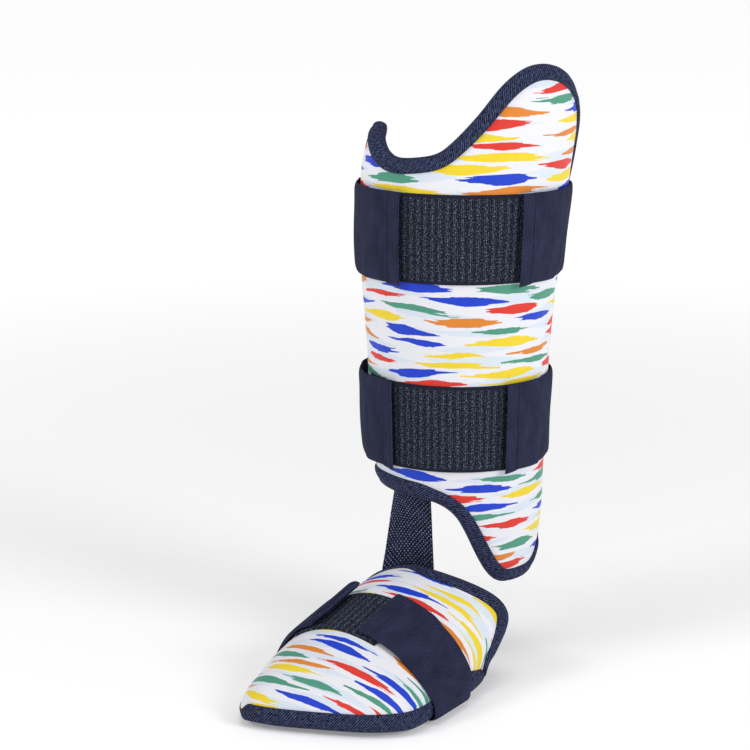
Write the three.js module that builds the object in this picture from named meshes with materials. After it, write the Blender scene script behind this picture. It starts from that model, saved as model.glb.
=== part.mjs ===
import * as THREE from "three";

// A batter's leg guard as it sits on a left leg: a padded shin guard, a padded foot guard, the strap of
// webbing that joins them, and three elastic straps that close on loop panels.
// Lengths are millimetres. Angles are degrees round the leg, 0 at the front and growing toward the wearer's
// outer side, +X. The toe points along -Y, and heights are measured from the sole.

// Shin guard
const SHIN_LENGTH = 395.5;
const SHIN_CLEARANCE = 64.6; // from the sole up to the lowest point of the shell
const SHIN_RADIUS = 77;
const SHIN_PAD = 10;
const WING_FLARE = 16; // how far the outer wing leans away from the knee
const WING_LEAN = 9; // how far the inner wing leans toward the knee
const INNER_REACH = 74; // angle at which the shell ends on the inner side
const OUTER_REACH = 133;

// Foot guard
const FOOT_LENGTH = 179.5;
const FOOT_INNER = 62; // from the crown line to the inner edge
const FOOT_OUTER = 85;
const FOOT_HEIGHT = 76;
const FOOT_PAD = 8;
const FOOT_FORWARD = 60; // from the leg's axis to the rear of the crown
const FOOT_CROWN_SIDE = 8; // the crown line lies this far toward the outer side

// Binding tape folded over every edge of both shells
const TAPE = 1.2;
const SHIN_TAPE_LEG = 8.5; // how far it covers each face
const FOOT_TAPE_LEG = 11;
const SHIN_ROLL = 3; // how far the padding thins at the edge, on the outer face
const FOOT_ROLL = 2;
const ROLL_INSIDE = 0.8;
const ROLL_WIDTH = 15;
const EDGE_BULGE = 1.5;
const TAPE_PUFF = 1.6; // how much the tape stands up halfway to where it ends on the outer face
const INNER_ROOM = 0.8; // further room where the tape ends on the inner face

// Straps, loop panels and hook pads
const SHIN_STRAP_WIDTH = 69;
const FOOT_STRAP_WIDTH = 50;
const STRAP = 2.2;
const STRAP_EDGE = 1.5; // thickness at its long edges
const STRAP_CURL = 7; // width of the stretch along each edge that curls toward the shell
const PANEL = 1.3;
const PANEL_INSET = 2; // the panel is narrower than its strap by this much along each edge
const HOOK = 0.8;
const HOOK_INSET = 9;
const HOOK_LENGTH = 26;
const CALF_DIP = 9; // how far a strap sinks behind the calf, where no shell holds it out

// Webbing between the two guards
const WEBBING_WIDTH = 44;
const WEBBING = 2;
const WEBBING_TUCK = 22; // length hidden behind each guard

const GAP = 0.3; // between pieces that touch
const FINE = 1e-3; // step for slopes, as a share
const NUDGE = 0.02; // how far in from an edge its slopes are taken, as a share of the way to the middle
const WALK = 12; // steps of a walk over a surface

const rad = THREE.MathUtils.degToRad;
const vector = (x, y, z) => new THREE.Vector3(x, y, z);
const ease = (from, to, x) => THREE.MathUtils.smoothstep(x, from, to);

// A smooth function through the rows of a table, level beyond its ends.
function through(rows, along, value) {
  const slope = (i) => {
    const a = rows[Math.max(i - 1, 0)];
    const b = rows[Math.min(i + 1, rows.length - 1)];
    return (b[value] - a[value]) / (b[along] - a[along]);
  };
  return (x) => {
    if (x <= rows[0][along]) return rows[0][value];
    const i = rows.findIndex((row) => x < row[along]) - 1;
    if (i < 0) return rows[rows.length - 1][value];
    const width = rows[i + 1][along] - rows[i][along];
    const t = (x - rows[i][along]) / width;
    const bend = (t - t * t) * width * ((1 - t) * slope(i) - t * slope(i + 1));
    const step = t * t * (3 - 2 * t);
    return rows[i][value] * (1 - step) + rows[i + 1][value] * step + bend;
  };
}

// A closed body from rings of points, each ring joined to the next, with both ends capped or joined.
function bodyOfRings(rings, closed) {
  const size = rings[0].length;
  const points = rings.flat();
  const faces = [];
  const last = closed ? rings.length : rings.length - 1;
  for (let i = 0; i < last; i++) {
    const here = i * size;
    const next = ((i + 1) % rings.length) * size;
    for (let k = 0; k < size; k++) {
      const after = (k + 1) % size;
      faces.push(here + k, next + k, next + after, here + k, next + after, here + after);
    }
  }
  if (!closed) {
    const end = (rings.length - 1) * size;
    // A ring runs out along one face and back along the other, so opposite points pair up.
    for (let k = 0; k < size / 2 - 1; k++) {
      const mate = size - 1 - k;
      faces.push(k, k + 1, mate - 1, k, mate - 1, mate);
      faces.push(end + k, end + mate - 1, end + k + 1, end + k, end + mate, end + mate - 1);
    }
  }
  return geometryOf(points, faces);
}

function geometryOf(points, faces) {
  const [a, b, c] = [0, 0, 0].map(() => vector());
  let volume = 0;
  for (let i = 0; i < faces.length; i += 3) {
    a.copy(points[faces[i]]);
    b.copy(points[faces[i + 1]]);
    c.copy(points[faces[i + 2]]);
    volume += a.dot(b.cross(c));
  }
  const turned = volume < 0 ? faces.toReversed() : faces;
  const geometry = new THREE.BufferGeometry().setFromPoints(points);
  geometry.setIndex(turned);
  geometry.computeVertexNormals();
  return geometry;
}

// A thin curved piece. Each row of the profile is a place across the piece with its low and high faces,
// and place turns a place along, a place across and a face into a point.
function patch(place, along, profile) {
  const rings = along.map((a) => [
    ...profile.map((row) => place(a, row.across, row.low)),
    ...profile.toReversed().map((row) => place(a, row.across, row.high)),
  ]);
  return bodyOfRings(rings, false);
}

const spread = (from, to, parts) =>
  Array.from({ length: parts + 1 }, (_, i) => from + ((to - from) * i) / parts);

// Where a measure that only rises or only falls between two values reaches the wanted one.
function search(measure, wanted, from, to) {
  let [a, b] = [from, to];
  const rising = measure(to) > measure(from);
  for (let i = 0; i < 24; i++) {
    const middle = (a + b) / 2;
    if (measure(middle) < wanted === rising) a = middle;
    else b = middle;
  }
  return (a + b) / 2;
}

// A padded shell over a surface. grid holds the places of its mesh, row by row, its outer rows and columns
// on the shell's edge.
class PaddedShell {
  constructor(surface, grid, { pad, roll, leg }) {
    this.surface = surface;
    this.grid = grid;
    this.pad = pad;
    this.roll = roll;
    this.leg = leg;
    const top = grid.length - 1;
    const side = grid[0].length - 1;
    this.edge = [
      ...(grid.tip ? [grid.tip] : grid[0].slice(0, side)),
      ...grid.slice(0, top).map((row) => row[side]),
      ...grid[top].slice(1).toReversed(),
      ...grid.slice(grid.tip ? 0 : 1).map((row) => row[0]).toReversed(),
    ];
    this.edgePoints = this.edge.map(([a, b]) => surface(a, b));
    const middle = grid[top >> 1][side >> 1];
    this.facing = Math.sign(this.crossAt(...middle).dot(this.outwardAt(middle)));
  }

  outwardAt([a, b]) {
    return this.surface(a, b).sub(this.surface.heart(a, b));
  }

  crossAt(a, row) {
    const { surface } = this;
    const b = Math.max(row, surface.least ?? row);
    const [da, db] = surface.steps;
    const alongA = surface(a + da, b).sub(surface(a - da, b));
    const alongB = surface(a, b + db).sub(surface(a, b - db));
    return alongA.cross(alongB);
  }

  normal(a, b) {
    return this.crossAt(a, b).multiplyScalar(this.facing).normalize();
  }

  // Distance from a point to the shell's edge.
  inFromEdge(point) {
    const line = new THREE.Line3();
    const near = vector();
    return this.edgePoints.reduce((least, start, i) => {
      line.set(start, this.edgePoints[(i + 1) % this.edgePoints.length]);
      return Math.min(least, line.closestPointToPoint(point, true, near).distanceTo(point));
    }, Infinity);
  }

  // How much the padding has thinned, from 1 at the edge to 0 past the roll.
  thinAt(point) {
    return Math.max(0, 1 - this.inFromEdge(point) / ROLL_WIDTH) ** 2;
  }

  // The outer face lies `over` above the surface, and rolls in toward the edge.
  outer(a, b, over = 0) {
    const point = this.surface(a, b);
    return point.addScaledVector(this.normal(a, b), over - this.roll * this.thinAt(point));
  }

  inner(a, b, under = 0) {
    const point = this.surface(a, b);
    const depth = this.pad(a, b) - ROLL_INSIDE * this.thinAt(point);
    return point.addScaledVector(this.normal(a, b), -depth - under);
  }

  // Unit vectors at an edge place: along the edge, out of the face, and into the shell.
  frameAt(i) {
    const count = this.edge.length;
    const before = this.edgePoints[(i + count - 1) % count];
    const after = this.edgePoints[(i + 1) % count];
    const along = after.clone().sub(before).normalize();
    const out = this.normal(...this.edge[i]);
    const into = out.clone().cross(along).normalize();
    const [a, b] = this.edge[i];
    const heart = this.surface(a + (this.grid.centre[0] - a) / 8, b + (this.grid.centre[1] - b) / 8);
    if (into.dot(heart.sub(this.edgePoints[i])) < 0) into.negate();
    return { out, into };
  }

  // The place reached by going straight in over the surface from edge place i.
  placeIn(i, distance) {
    const { centre } = this.grid;
    const [da, db] = this.surface.steps;
    let [a, b] = this.edge[i];
    let { into } = this.frameAt(i);
    let side = NUDGE;
    for (let step = 0; step < WALK; step++) {
      const [from, up] = [a + (centre[0] - a) * side, b + (centre[1] - b) * side];
      const here = this.surface(from, up);
      const alongA = this.surface(from + da, up).sub(here).divideScalar(da);
      const alongB = this.surface(from, up + db).sub(here).divideScalar(db);
      into = into.clone().projectOnPlane(this.normal(from, up)).normalize();
      const [aa, ab, bb] = [alongA.dot(alongA), alongA.dot(alongB), alongB.dot(alongB)];
      const [ia, ib] = [into.dot(alongA), into.dot(alongB)];
      const scale = distance / WALK / (aa * bb - ab * ab);
      [a, b] = this.surface.hold(a + (ia * bb - ib * ab) * scale, b + (ib * aa - ia * ab) * scale);
      side = 0;
    }
    return [a, b];
  }

  body() {
    const rows = this.grid.length;
    const columns = this.grid[0].length;
    const { tip } = this.grid;
    const places = [...this.grid.flat(), ...(tip ? [tip] : [])];
    const points = [
      ...places.map(([a, b]) => this.outer(a, b)),
      ...places.map(([a, b]) => this.inner(a, b)),
    ];
    const under = places.length;
    const faces = [];
    const both = (p, q, r) => faces.push(p, q, r, under + p, under + r, under + q);
    for (let j = 0; j < rows - 1; j++) {
      for (let i = 0; i < columns - 1; i++) {
        const [p, q] = [j * columns + i, (j + 1) * columns + i];
        both(p, p + 1, q + 1);
        both(p, q + 1, q);
      }
    }
    const numbers = (from, to) => spread(from, to, Math.abs(to - from));
    const tipIndex = under - 1;
    if (tip) numbers(0, columns - 2).forEach((i) => both(tipIndex, i + 1, i));
    const border = [
      ...(tip ? [tipIndex] : numbers(0, columns - 2)),
      ...numbers(0, rows - 2).map((j) => (j + 1) * columns - 1),
      ...numbers(columns - 1, 1).map((i) => (rows - 1) * columns + i),
      ...numbers(rows - 1, tip ? 0 : 1).map((j) => j * columns),
    ];
    border.forEach((p, i) => {
      const middle = points[p].clone().lerp(points[under + p], 0.5);
      points.push(middle.addScaledVector(this.frameAt(i).into, -EDGE_BULGE));
    });
    const bulge = 2 * under;
    border.forEach((p, i) => {
      const j = (i + 1) % border.length;
      const q = border[j];
      faces.push(p, bulge + i, bulge + j, p, bulge + j, q);
      faces.push(bulge + i, under + p, under + q, bulge + i, under + q, bulge + j);
    });
    return geometryOf(points, faces);
  }

  // Tape folded over the edge: each ring goes in along the side that faces the shell and back outside.
  binding() {
    const rings = this.edge.map((place, i) => {
      const leg = this.leg(...place);
      const tip = this.placeIn(i, leg);
      const half = this.placeIn(i, leg / 2);
      const { out, into } = this.frameAt(i);
      const layer = (over) => {
        const outside = this.outer(...place, over + TAPE_PUFF / 2).addScaledVector(into, -over);
        const inside = this.inner(...place, over + INNER_ROOM).addScaledVector(into, -over);
        const middle = this.outer(...place).lerp(this.inner(...place), 0.5);
        middle.addScaledVector(into, -EDGE_BULGE - over);
        return [
          this.outer(...tip, over),
          this.outer(...half, over + TAPE_PUFF),
          outside,
          middle,
          inside,
          this.inner(...tip, over + INNER_ROOM),
        ];
      };
      return [...layer(GAP), ...layer(GAP + TAPE).toReversed()];
    });
    return bodyOfRings(rings, true);
  }
}

// Round the leg the shin shell is a cone that follows the calf. Its outer wing flares away from the knee
// and its inner wing leans in. Heights and the three columns after them are shares of the named sizes.
const SHIN_FORM = [
  { height: 0, radius: 0.827, flare: 0, lean: 0.25 },
  { height: 0.13, radius: 0.878, flare: 0, lean: 0.3 },
  { height: 0.25, radius: 0.894, flare: 0, lean: 0.05 },
  { height: 0.42, radius: 0.924, flare: 0, lean: 0 },
  { height: 0.5, radius: 0.95, flare: 0, lean: 0 },
  { height: 0.57, radius: 0.98, flare: 0.02, lean: 0 },
  { height: 0.66, radius: 1, flare: 0.16, lean: 0 },
  { height: 0.77, radius: 0.995, flare: 0.44, lean: 0 },
  { height: 0.81, radius: 0.99, flare: 0.56, lean: 0.1 },
  { height: 0.845, radius: 0.988, flare: 0.68, lean: 0.5 },
  { height: 0.88, radius: 0.982, flare: 0.81, lean: 1 },
  { height: 1, radius: 0.965, flare: 1, lean: 1.1 },
];

// The shin shell's edges opened out flat, height as a share of the shell's length.
const SHIN_TOP = [
  { angle: -50, height: 0.885 },
  { angle: -35, height: 0.873 },
  { angle: -26, height: 0.857 },
  { angle: -18, height: 0.84 },
  { angle: -7, height: 0.8273 },
  { angle: 10, height: 0.8293 },
  { angle: 24, height: 0.84 },
  { angle: 34, height: 0.8658 },
  { angle: 46, height: 0.908 },
  { angle: 61, height: 0.969 },
  { angle: 74, height: 0.998 },
  { angle: 90, height: 1 },
  { angle: 111, height: 0.985 },
];
const SHIN_BOTTOM = [
  { angle: -52, height: 0.188 },
  { angle: -20, height: 0.184 },
  { angle: 5, height: 0.178 },
  { angle: 20, height: 0.174 },
  { angle: 30, height: 0.162 },
  { angle: 38, height: 0.141 },
  { angle: 45, height: 0.107 },
  { angle: 53, height: 0.062 },
  { angle: 61, height: 0.026 },
  { angle: 70, height: 0.004 },
  { angle: 80, height: 0 },
];
// Rounded corners: width is an angle, and side is the height where the shell's side edge starts.
const CORNERS = {
  innerTop: { width: 24, side: 0.745 },
  outerTop: { width: 54, side: 0.843 },
  innerBottom: { width: 22, side: 0.25 },
  outerBottom: { width: 48, side: 0.215 },
};

function shinEdge(rows, inner, outer) {
  const line = through(rows, "angle", "height");
  return (angle) => {
    const nearInner = (inner.width - INNER_REACH - angle) / inner.width;
    const nearOuter = (angle - OUTER_REACH + outer.width) / outer.width;
    const corner = nearInner > 0 ? inner : outer;
    const near = THREE.MathUtils.clamp(Math.max(nearInner, nearOuter), 0, 1);
    return corner.side + (line(angle) - corner.side) * Math.sqrt(1 - near * near);
  };
}
const shinTop = shinEdge(SHIN_TOP, CORNERS.innerTop, CORNERS.outerTop);
const shinBottom = shinEdge(SHIN_BOTTOM, CORNERS.innerBottom, CORNERS.outerBottom);

const shinRadius = through(SHIN_FORM, "height", "radius");
const shinFlare = through(SHIN_FORM, "height", "flare");
const shinLean = through(SHIN_FORM, "height", "lean");
const FLARE_FROM = 15;
const FLARE_FULL = 100;
const FULL_TURN = 360;
const BACK_MIDDLE = (FULL_TURN + OUTER_REACH - INNER_REACH) / 2;
const LEAN_FROM = 5;
const LEAN_FULL = 60;

// A point of the shin surface from an angle and a height share. Angles run on past 180 round the back.
function shinSurface(angle, height) {
  const round = angle > BACK_MIDDLE ? angle - FULL_TURN : angle;
  const fade = 1 - ease(OUTER_REACH, BACK_MIDDLE, angle);
  const outward = ease(FLARE_FROM, FLARE_FULL, round) * fade;
  const inward = ease(LEAN_FROM, LEAN_FULL, -round);
  const radius =
    SHIN_RADIUS * shinRadius(height) +
    WING_FLARE * shinFlare(height) * outward -
    WING_LEAN * shinLean(height) * inward;
  const turn = rad(angle);
  return vector(
    radius * Math.sin(turn),
    -radius * Math.cos(turn),
    SHIN_CLEARANCE + SHIN_LENGTH * height,
  );
}
shinSurface.steps = [0.05, 0.0002];
shinSurface.hold = (angle, height) => [angle, height];
shinSurface.heart = (angle, height) => vector(0, 0, SHIN_CLEARANCE + SHIN_LENGTH * height);

// Columns crowd toward the side edges and rows toward the top and bottom ones, where the shell rolls in.
const SIDE_COLUMNS = [0, 0.9, 3.4, 7.2, 11.6];
const MIDDLE_COLUMNS = 33;
const EDGE_ROWS = [0, 0.018, 0.04, 0.066];
const MIDDLE_ROWS = 8;

function shinGrid() {
  const rest = SIDE_COLUMNS.at(-1);
  const angles = [
    ...SIDE_COLUMNS.slice(0, -1).map((a) => a - INNER_REACH),
    ...spread(rest - INNER_REACH, OUTER_REACH - rest, MIDDLE_COLUMNS),
    ...SIDE_COLUMNS.slice(0, -1).map((a) => OUTER_REACH - a).toReversed(),
  ];
  const inset = EDGE_ROWS.at(-1);
  const shares = [
    ...EDGE_ROWS.slice(0, -1),
    ...spread(inset, 1 - inset, MIDDLE_ROWS),
    ...EDGE_ROWS.slice(0, -1).map((s) => 1 - s).toReversed(),
  ];
  const grid = shares.map((share) =>
    angles.map((angle) => [angle, THREE.MathUtils.lerp(shinBottom(angle), shinTop(angle), share)]),
  );
  grid.centre = [(OUTER_REACH - INNER_REACH) / 2, 0.5];
  return grid;
}

// The foot shell in rows from the toe's tip to the instep. Each row is an arch from the inner edge over the
// crown to the outer edge. Places behind the toe, widths from the crown line and heights are shares of the
// named sizes. A swell sets how full one side of the arch is: 1 for an ellipse and less for a squarer one.
const FOOT_FORM = [
  { row: 0, crown: 0, innerEdge: 0, outerEdge: 0, shift: -0.37, inner: 0.37, outer: -0.27 },
  { row: 0.08, crown: 0.008, innerEdge: 0.034, outerEdge: 0.038, shift: -0.32, inner: 0.58, outer: 0.02 },
  { row: 0.16, crown: 0.036, innerEdge: 0.1, outerEdge: 0.115, shift: -0.24, inner: 0.73, outer: 0.36 },
  { row: 0.25, crown: 0.098, innerEdge: 0.175, outerEdge: 0.2, shift: -0.16, inner: 0.82, outer: 0.69 },
  { row: 0.35, crown: 0.2, innerEdge: 0.26, outerEdge: 0.28, shift: -0.1, inner: 0.875, outer: 0.88 },
  { row: 0.45, crown: 0.306, innerEdge: 0.345, outerEdge: 0.37, shift: -0.04, inner: 0.935, outer: 0.985 },
  { row: 0.6, crown: 0.497, innerEdge: 0.52, outerEdge: 0.525, shift: 0, inner: 1, outer: 0.985 },
  { row: 0.8, crown: 0.777, innerEdge: 0.755, outerEdge: 0.75, shift: 0, inner: 1, outer: 0.95 },
  { row: 1, crown: 1, innerEdge: 0.9, outerEdge: 0.905, shift: 0, inner: 0.93, outer: 0.92 },
];
const FOOT_ARCH = [
  { row: 0, height: 0.04, innerSwell: 1, outerSwell: 1, pad: 0.6, tuck: 0 },
  { row: 0.08, height: 0.105, innerSwell: 1, outerSwell: 1, pad: 0.6, tuck: 0 },
  { row: 0.16, height: 0.195, innerSwell: 1, outerSwell: 1, pad: 0.65, tuck: 0 },
  { row: 0.25, height: 0.315, innerSwell: 1, outerSwell: 1, pad: 0.75, tuck: 0 },
  { row: 0.35, height: 0.43, innerSwell: 1, outerSwell: 1.05, pad: 0.9, tuck: 0 },
  { row: 0.45, height: 0.538, innerSwell: 0.95, outerSwell: 1.1, pad: 1, tuck: 0 },
  { row: 0.6, height: 0.675, innerSwell: 0.85, outerSwell: 1.1, pad: 1, tuck: 0.02 },
  { row: 0.8, height: 0.875, innerSwell: 0.75, outerSwell: 0.8, pad: 1, tuck: 0.07 },
  { row: 1, height: 1, innerSwell: 0.6, outerSwell: 0.48, pad: 1, tuck: 0.08 },
];
const FOOT_EDGE_HEIGHT = EDGE_BULGE + GAP + TAPE; // its binding touches the ground
const TUCK_TO = 0.4; // the arch has come out to its full width this far up
const TOE_BEND = 1.8; // how square the toe's edge is in plan
const TIP_ROW = 0.01; // the toe's tip faces the way that this row does
const SIDE_EDGE = 0.002; // a walk over the surface stays this far from its side edges
const HEEL_SWELL = 31; // how far the outer side of the rear edge runs back toward the ankle

const columnsOf = (rows) =>
  Object.fromEntries(Object.keys(rows[0]).map((key) => [key, through(rows, "row", key)]));
const plan = columnsOf(FOOT_FORM);
const arch = columnsOf(FOOT_ARCH);

// side runs 0 to 1 from the inner edge over the crown to the outer edge, and row 0 to 1 from the toe.
function footSurface(side, row) {
  const across = -Math.cos(Math.PI * side);
  const up = Math.max(0, Math.sin(Math.PI * side));
  const outer = across > 0;
  const shift = FOOT_INNER * plan.shift(row);
  const width = outer ? FOOT_OUTER * plan.outer(row) - shift : FOOT_INNER * plan.inner(row) + shift;
  const edge = outer ? plan.outerEdge(row) : plan.innerEdge(row);
  const behind = THREE.MathUtils.lerp(plan.crown(row), edge, Math.abs(across) ** TOE_BEND);
  const swell = outer ? HEEL_SWELL * row ** 4 * Math.sin(Math.PI * up ** 0.75) * ease(0, 0.06, up) : 0;
  const full = outer ? arch.outerSwell(row) : arch.innerSwell(row);
  const height = FOOT_HEIGHT * arch.height(row);
  const tuck = outer ? FOOT_OUTER * arch.tuck(row) * (1 - ease(0, TUCK_TO, up)) : 0;
  return vector(
    FOOT_CROWN_SIDE + shift + width * across - tuck,
    FOOT_LENGTH * (behind - 1) - FOOT_FORWARD + swell,
    THREE.MathUtils.lerp(FOOT_EDGE_HEIGHT, height, up ** full),
  );
}
footSurface.steps = [0.0004, 0.0004];
footSurface.least = TIP_ROW;
footSurface.hold = (side, row) => [
  THREE.MathUtils.clamp(side, SIDE_EDGE, 1 - SIDE_EDGE),
  THREE.MathUtils.clamp(row, TIP_ROW, 1),
];
footSurface.heart = (side, row) => footSurface(side, row).setX(FOOT_CROWN_SIDE).setZ(0);

const FOOT_SIDES = [0, 0.012, 0.027, 0.05, 0.09, 0.15, 0.22, 0.3, 0.38, 0.46];
const FOOT_ROWS = [
  0.025, 0.05, 0.08, 0.115, 0.155, 0.2, 0.26, 0.33, 0.41, 0.5, 0.6, 0.7, 0.8, 0.875, 0.93, 0.965, 1,
];

function footGrid() {
  const sides = [...FOOT_SIDES, ...FOOT_SIDES.map((side) => 1 - side).toReversed()];
  const grid = FOOT_ROWS.map((row) => sides.map((side) => [side, row]));
  grid.centre = [0.5, 0.6];
  grid.tip = [0.5, 0];
  return grid;
}

// On the inner side the foot guard's tape is mostly turned under: only half its leg shows.
const TOE_TAPE = 0.1;
const tapeOutside = (side) => (1 + ease(0.15, 0.45, side)) / 2;

const shin = new PaddedShell(shinSurface, shinGrid(), {
  pad: () => SHIN_PAD,
  roll: SHIN_ROLL,
  leg: () => SHIN_TAPE_LEG,
});
const footGuard = new PaddedShell(footSurface, footGrid(), {
  pad: (side, row) => FOOT_PAD * arch.pad(row),
  roll: FOOT_ROLL,
  leg: (side, row) => FOOT_TAPE_LEG * Math.max(tapeOutside(side), 1 - ease(0, TOE_TAPE, row) / 2),
});

// Where a strap ends it lies on a hook pad, which grips the loop panel on the shell. Its long edges curl
// down to what lies under them.
const PANEL_TOP = GAP + PANEL;
const HOOK_TOP = PANEL_TOP + GAP + HOOK;
const UNDER_STRAP = HOOK_TOP + GAP;
const OVER_BINDING = TAPE + TAPE_PUFF + 2 * GAP;
const INSIDE_BINDING = TAPE + INNER_ROOM + 2 * GAP;
const STRAP_STEP = 6.5; // angle between the folds of a strap
const EASE = 8;

const SHIN_STRAPS = [
  { name: "upper", height: 0.686, innerEnd: 0, outerEnd: 72.5, slack: 0.5 },
  { name: "lower", height: 0.317, innerEnd: -8.5, outerEnd: 69, slack: 2.5 },
];
const SLACK_SPAN = 110; // angle over which a strap stands off the inner side

function onShin(angle, height, over) {
  const share = (height - SHIN_CLEARANCE) / SHIN_LENGTH;
  return shinSurface(angle, share).addScaledVector(shin.normal(angle, share), over);
}

const angleOf = (length) => THREE.MathUtils.radToDeg(length / SHIN_RADIUS);
const stepsFor = (span) => Math.ceil(span / STRAP_STEP);

function acrossShin(centre, width, low, high, parts) {
  return spread(centre - width / 2, centre + width / 2, parts).map((across) => ({ across, low, high }));
}

function strapProfile(centre, width) {
  const shoulder = width / 2 - STRAP_CURL;
  return [-width / 2, -shoulder, 0, shoulder, width / 2].map((offset) => {
    const edge = Math.abs(offset) > shoulder;
    return {
      across: centre + offset,
      low: { edge, over: 0 },
      high: { edge, over: edge ? STRAP_EDGE : STRAP },
    };
  });
}

function shinStrapBodies({ height, innerEnd, outerEnd, slack }) {
  const centre = SHIN_CLEARANCE + SHIN_LENGTH * height;
  const tuck = angleOf(HOOK_LENGTH + EASE);
  const pad = angleOf(HOOK_LENGTH);
  const panelTo = outerEnd + tuck;
  const panelFrom = innerEnd - tuck;

  // What the strap's edges lie on: the loop panel, the binding at the shell's side edges, or the shell.
  const under = (angle, at) => {
    const round = angle > BACK_MIDDLE ? angle - FULL_TURN : angle;
    const past = Math.max(round - panelTo, panelFrom - round);
    const panel = (PANEL_TOP + GAP) * (1 - ease(1, EASE, past));
    const point = shinSurface(angle, (at - SHIN_CLEARANCE) / SHIN_LENGTH);
    const onShell = round < OUTER_REACH && round > -INNER_REACH;
    const inside = onShell ? shin.inFromEdge(point) : 0;
    const binding = OVER_BINDING * (1 - ease(SHIN_TAPE_LEG + 1, SHIN_TAPE_LEG + EASE, inside));
    return Math.max(GAP, panel, binding);
  };
  const place = (angle, across, face) => {
    const free = (angle - OUTER_REACH) / (FULL_TURN - INNER_REACH - OUTER_REACH);
    const dip = CALF_DIP * Math.sin(Math.PI * THREE.MathUtils.clamp(free, 0, 1)) ** 2;
    const fromEnd = Math.min(angle - outerEnd, innerEnd + FULL_TURN - angle);
    const snug = ease(pad, pad + 2 * EASE, fromEnd) * (UNDER_STRAP - OVER_BINDING - GAP);
    const loosened = THREE.MathUtils.clamp((innerEnd + FULL_TURN - angle) / SLACK_SPAN, 0, 1);
    const loose = slack * Math.sin(Math.PI * loosened);
    const over = face.edge ? under(angle, across) : UNDER_STRAP - snug;
    return onShin(angle, across, over + face.over + loose - dip);
  };
  const round = FULL_TURN + innerEnd - outerEnd;
  const hook = (from, to) =>
    patch(
      onShin,
      spread(from, to, stepsFor(to - from)),
      acrossShin(centre, SHIN_STRAP_WIDTH - 2 * HOOK_INSET, PANEL_TOP + GAP, HOOK_TOP, 3),
    );
  return {
    strap: patch(
      place,
      spread(outerEnd, outerEnd + round, stepsFor(round)),
      strapProfile(centre, SHIN_STRAP_WIDTH),
    ),
    loop_panel: patch(
      onShin,
      spread(panelFrom, panelTo, stepsFor(panelTo - panelFrom)),
      acrossShin(centre, SHIN_STRAP_WIDTH - 2 * PANEL_INSET, GAP, PANEL_TOP, 4),
    ),
    hook_outer: hook(outerEnd + 1, outerEnd + pad),
    hook_inner: hook(innerEnd - pad, innerEnd - 1),
  };
}

const FOOT_STRAP_BACK = 0.645; // middle of the foot strap, as a share of the foot shell's length
const FOOT_STRAP_INNER_END = 0.345; // where its ends lie over the arch
const FOOT_STRAP_OUTER_END = 0.552;
const FOOT_STRAP_SKEW = 6; // how much nearer the toe everything lies on the inner side
const FOOT_PANEL_AHEAD = 6; // the panel sits this much nearer the toe than the strap
const SOLE_ROUND = 4.5; // half the thickness of the bound edge that the strap turns under
const SOLE_CENTRE = 4;

const strapForward = FOOT_LENGTH * (FOOT_STRAP_BACK - 1) - FOOT_FORWARD;

function onFoot(side, along, over) {
  const forward = along - FOOT_STRAP_SKEW * (1 - ease(0.1, 0.5, side));
  const row = search((r) => footSurface(side, r).y, forward, 0.05, 1);
  return footSurface(side, row).addScaledVector(footGuard.normal(side, row), over);
}

function footStrapBodies() {
  const tuck = 0.14;
  const pad = 0.1;
  const acrossFoot = (width, low, high, parts) =>
    spread(strapForward - width / 2, strapForward + width / 2, parts).map((across) => ({
      across,
      low,
      high,
    }));
  const edgeX = (side, forward) => onFoot(side, forward, 0).x;

  // The loop's places: over the arch to the outer edge, round and under the sole, and up the inner side.
  const overFoot = (side) => (forward, face) => {
    const toEdge = Math.min(side, 1 - side);
    const past = Math.max(side - FOOT_STRAP_OUTER_END, FOOT_STRAP_INNER_END - side) - tuck;
    const panel = (PANEL_TOP + 2 * GAP) * (1 - ease(0.01, 0.05, past));
    const binding = OVER_BINDING * (1 - ease(0.1, 0.14, toEdge));
    const low = face.edge ? Math.max(GAP, panel, binding) : UNDER_STRAP;
    return onFoot(side, forward, low + face.over);
  };
  const roundEdge = (side, angle) => (forward, face) => {
    const outward = side > 0.5 ? 1 : -1;
    const over = (face.edge ? OVER_BINDING : UNDER_STRAP) + face.over;
    const wide = SOLE_ROUND + over;
    const turn = rad(angle);
    return vector(
      edgeX(side, forward) + outward * (wide * Math.cos(turn) - SOLE_ROUND),
      forward - FOOT_STRAP_SKEW * (1 - side),
      SOLE_CENTRE - (SOLE_CENTRE + GAP + face.over) * Math.sin(turn),
    );
  };
  const stations = [
    ...spread(FOOT_STRAP_OUTER_END, 0.97, 8).map(overFoot),
    ...[0, 45, 90].map((angle) => roundEdge(1, angle)),
    ...[90, 45, 0].map((angle) => roundEdge(0, angle)),
    ...spread(0.03, FOOT_STRAP_INNER_END, 6).map(overFoot),
  ];
  const onPath = (station, across, face) => station(across, face);
  const hook = (from, to) =>
    patch(
      onFoot,
      spread(from, to, 4),
      acrossFoot(FOOT_STRAP_WIDTH - 2 * HOOK_INSET, PANEL_TOP + GAP, HOOK_TOP, 2),
    );
  return {
    strap: patch(onPath, stations, strapProfile(strapForward, FOOT_STRAP_WIDTH)),
    loop_panel: patch(
      (side, forward, over) => onFoot(side, forward - FOOT_PANEL_AHEAD, over),
      spread(FOOT_STRAP_INNER_END - tuck, FOOT_STRAP_OUTER_END + tuck, 14),
      acrossFoot(FOOT_STRAP_WIDTH - 2 * PANEL_INSET, GAP, PANEL_TOP, 3),
    ),
    hook_outer: hook(FOOT_STRAP_OUTER_END + 0.005, FOOT_STRAP_OUTER_END + pad),
    hook_inner: hook(FOOT_STRAP_INNER_END - pad, FOOT_STRAP_INNER_END - 0.005),
  };
}

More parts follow.
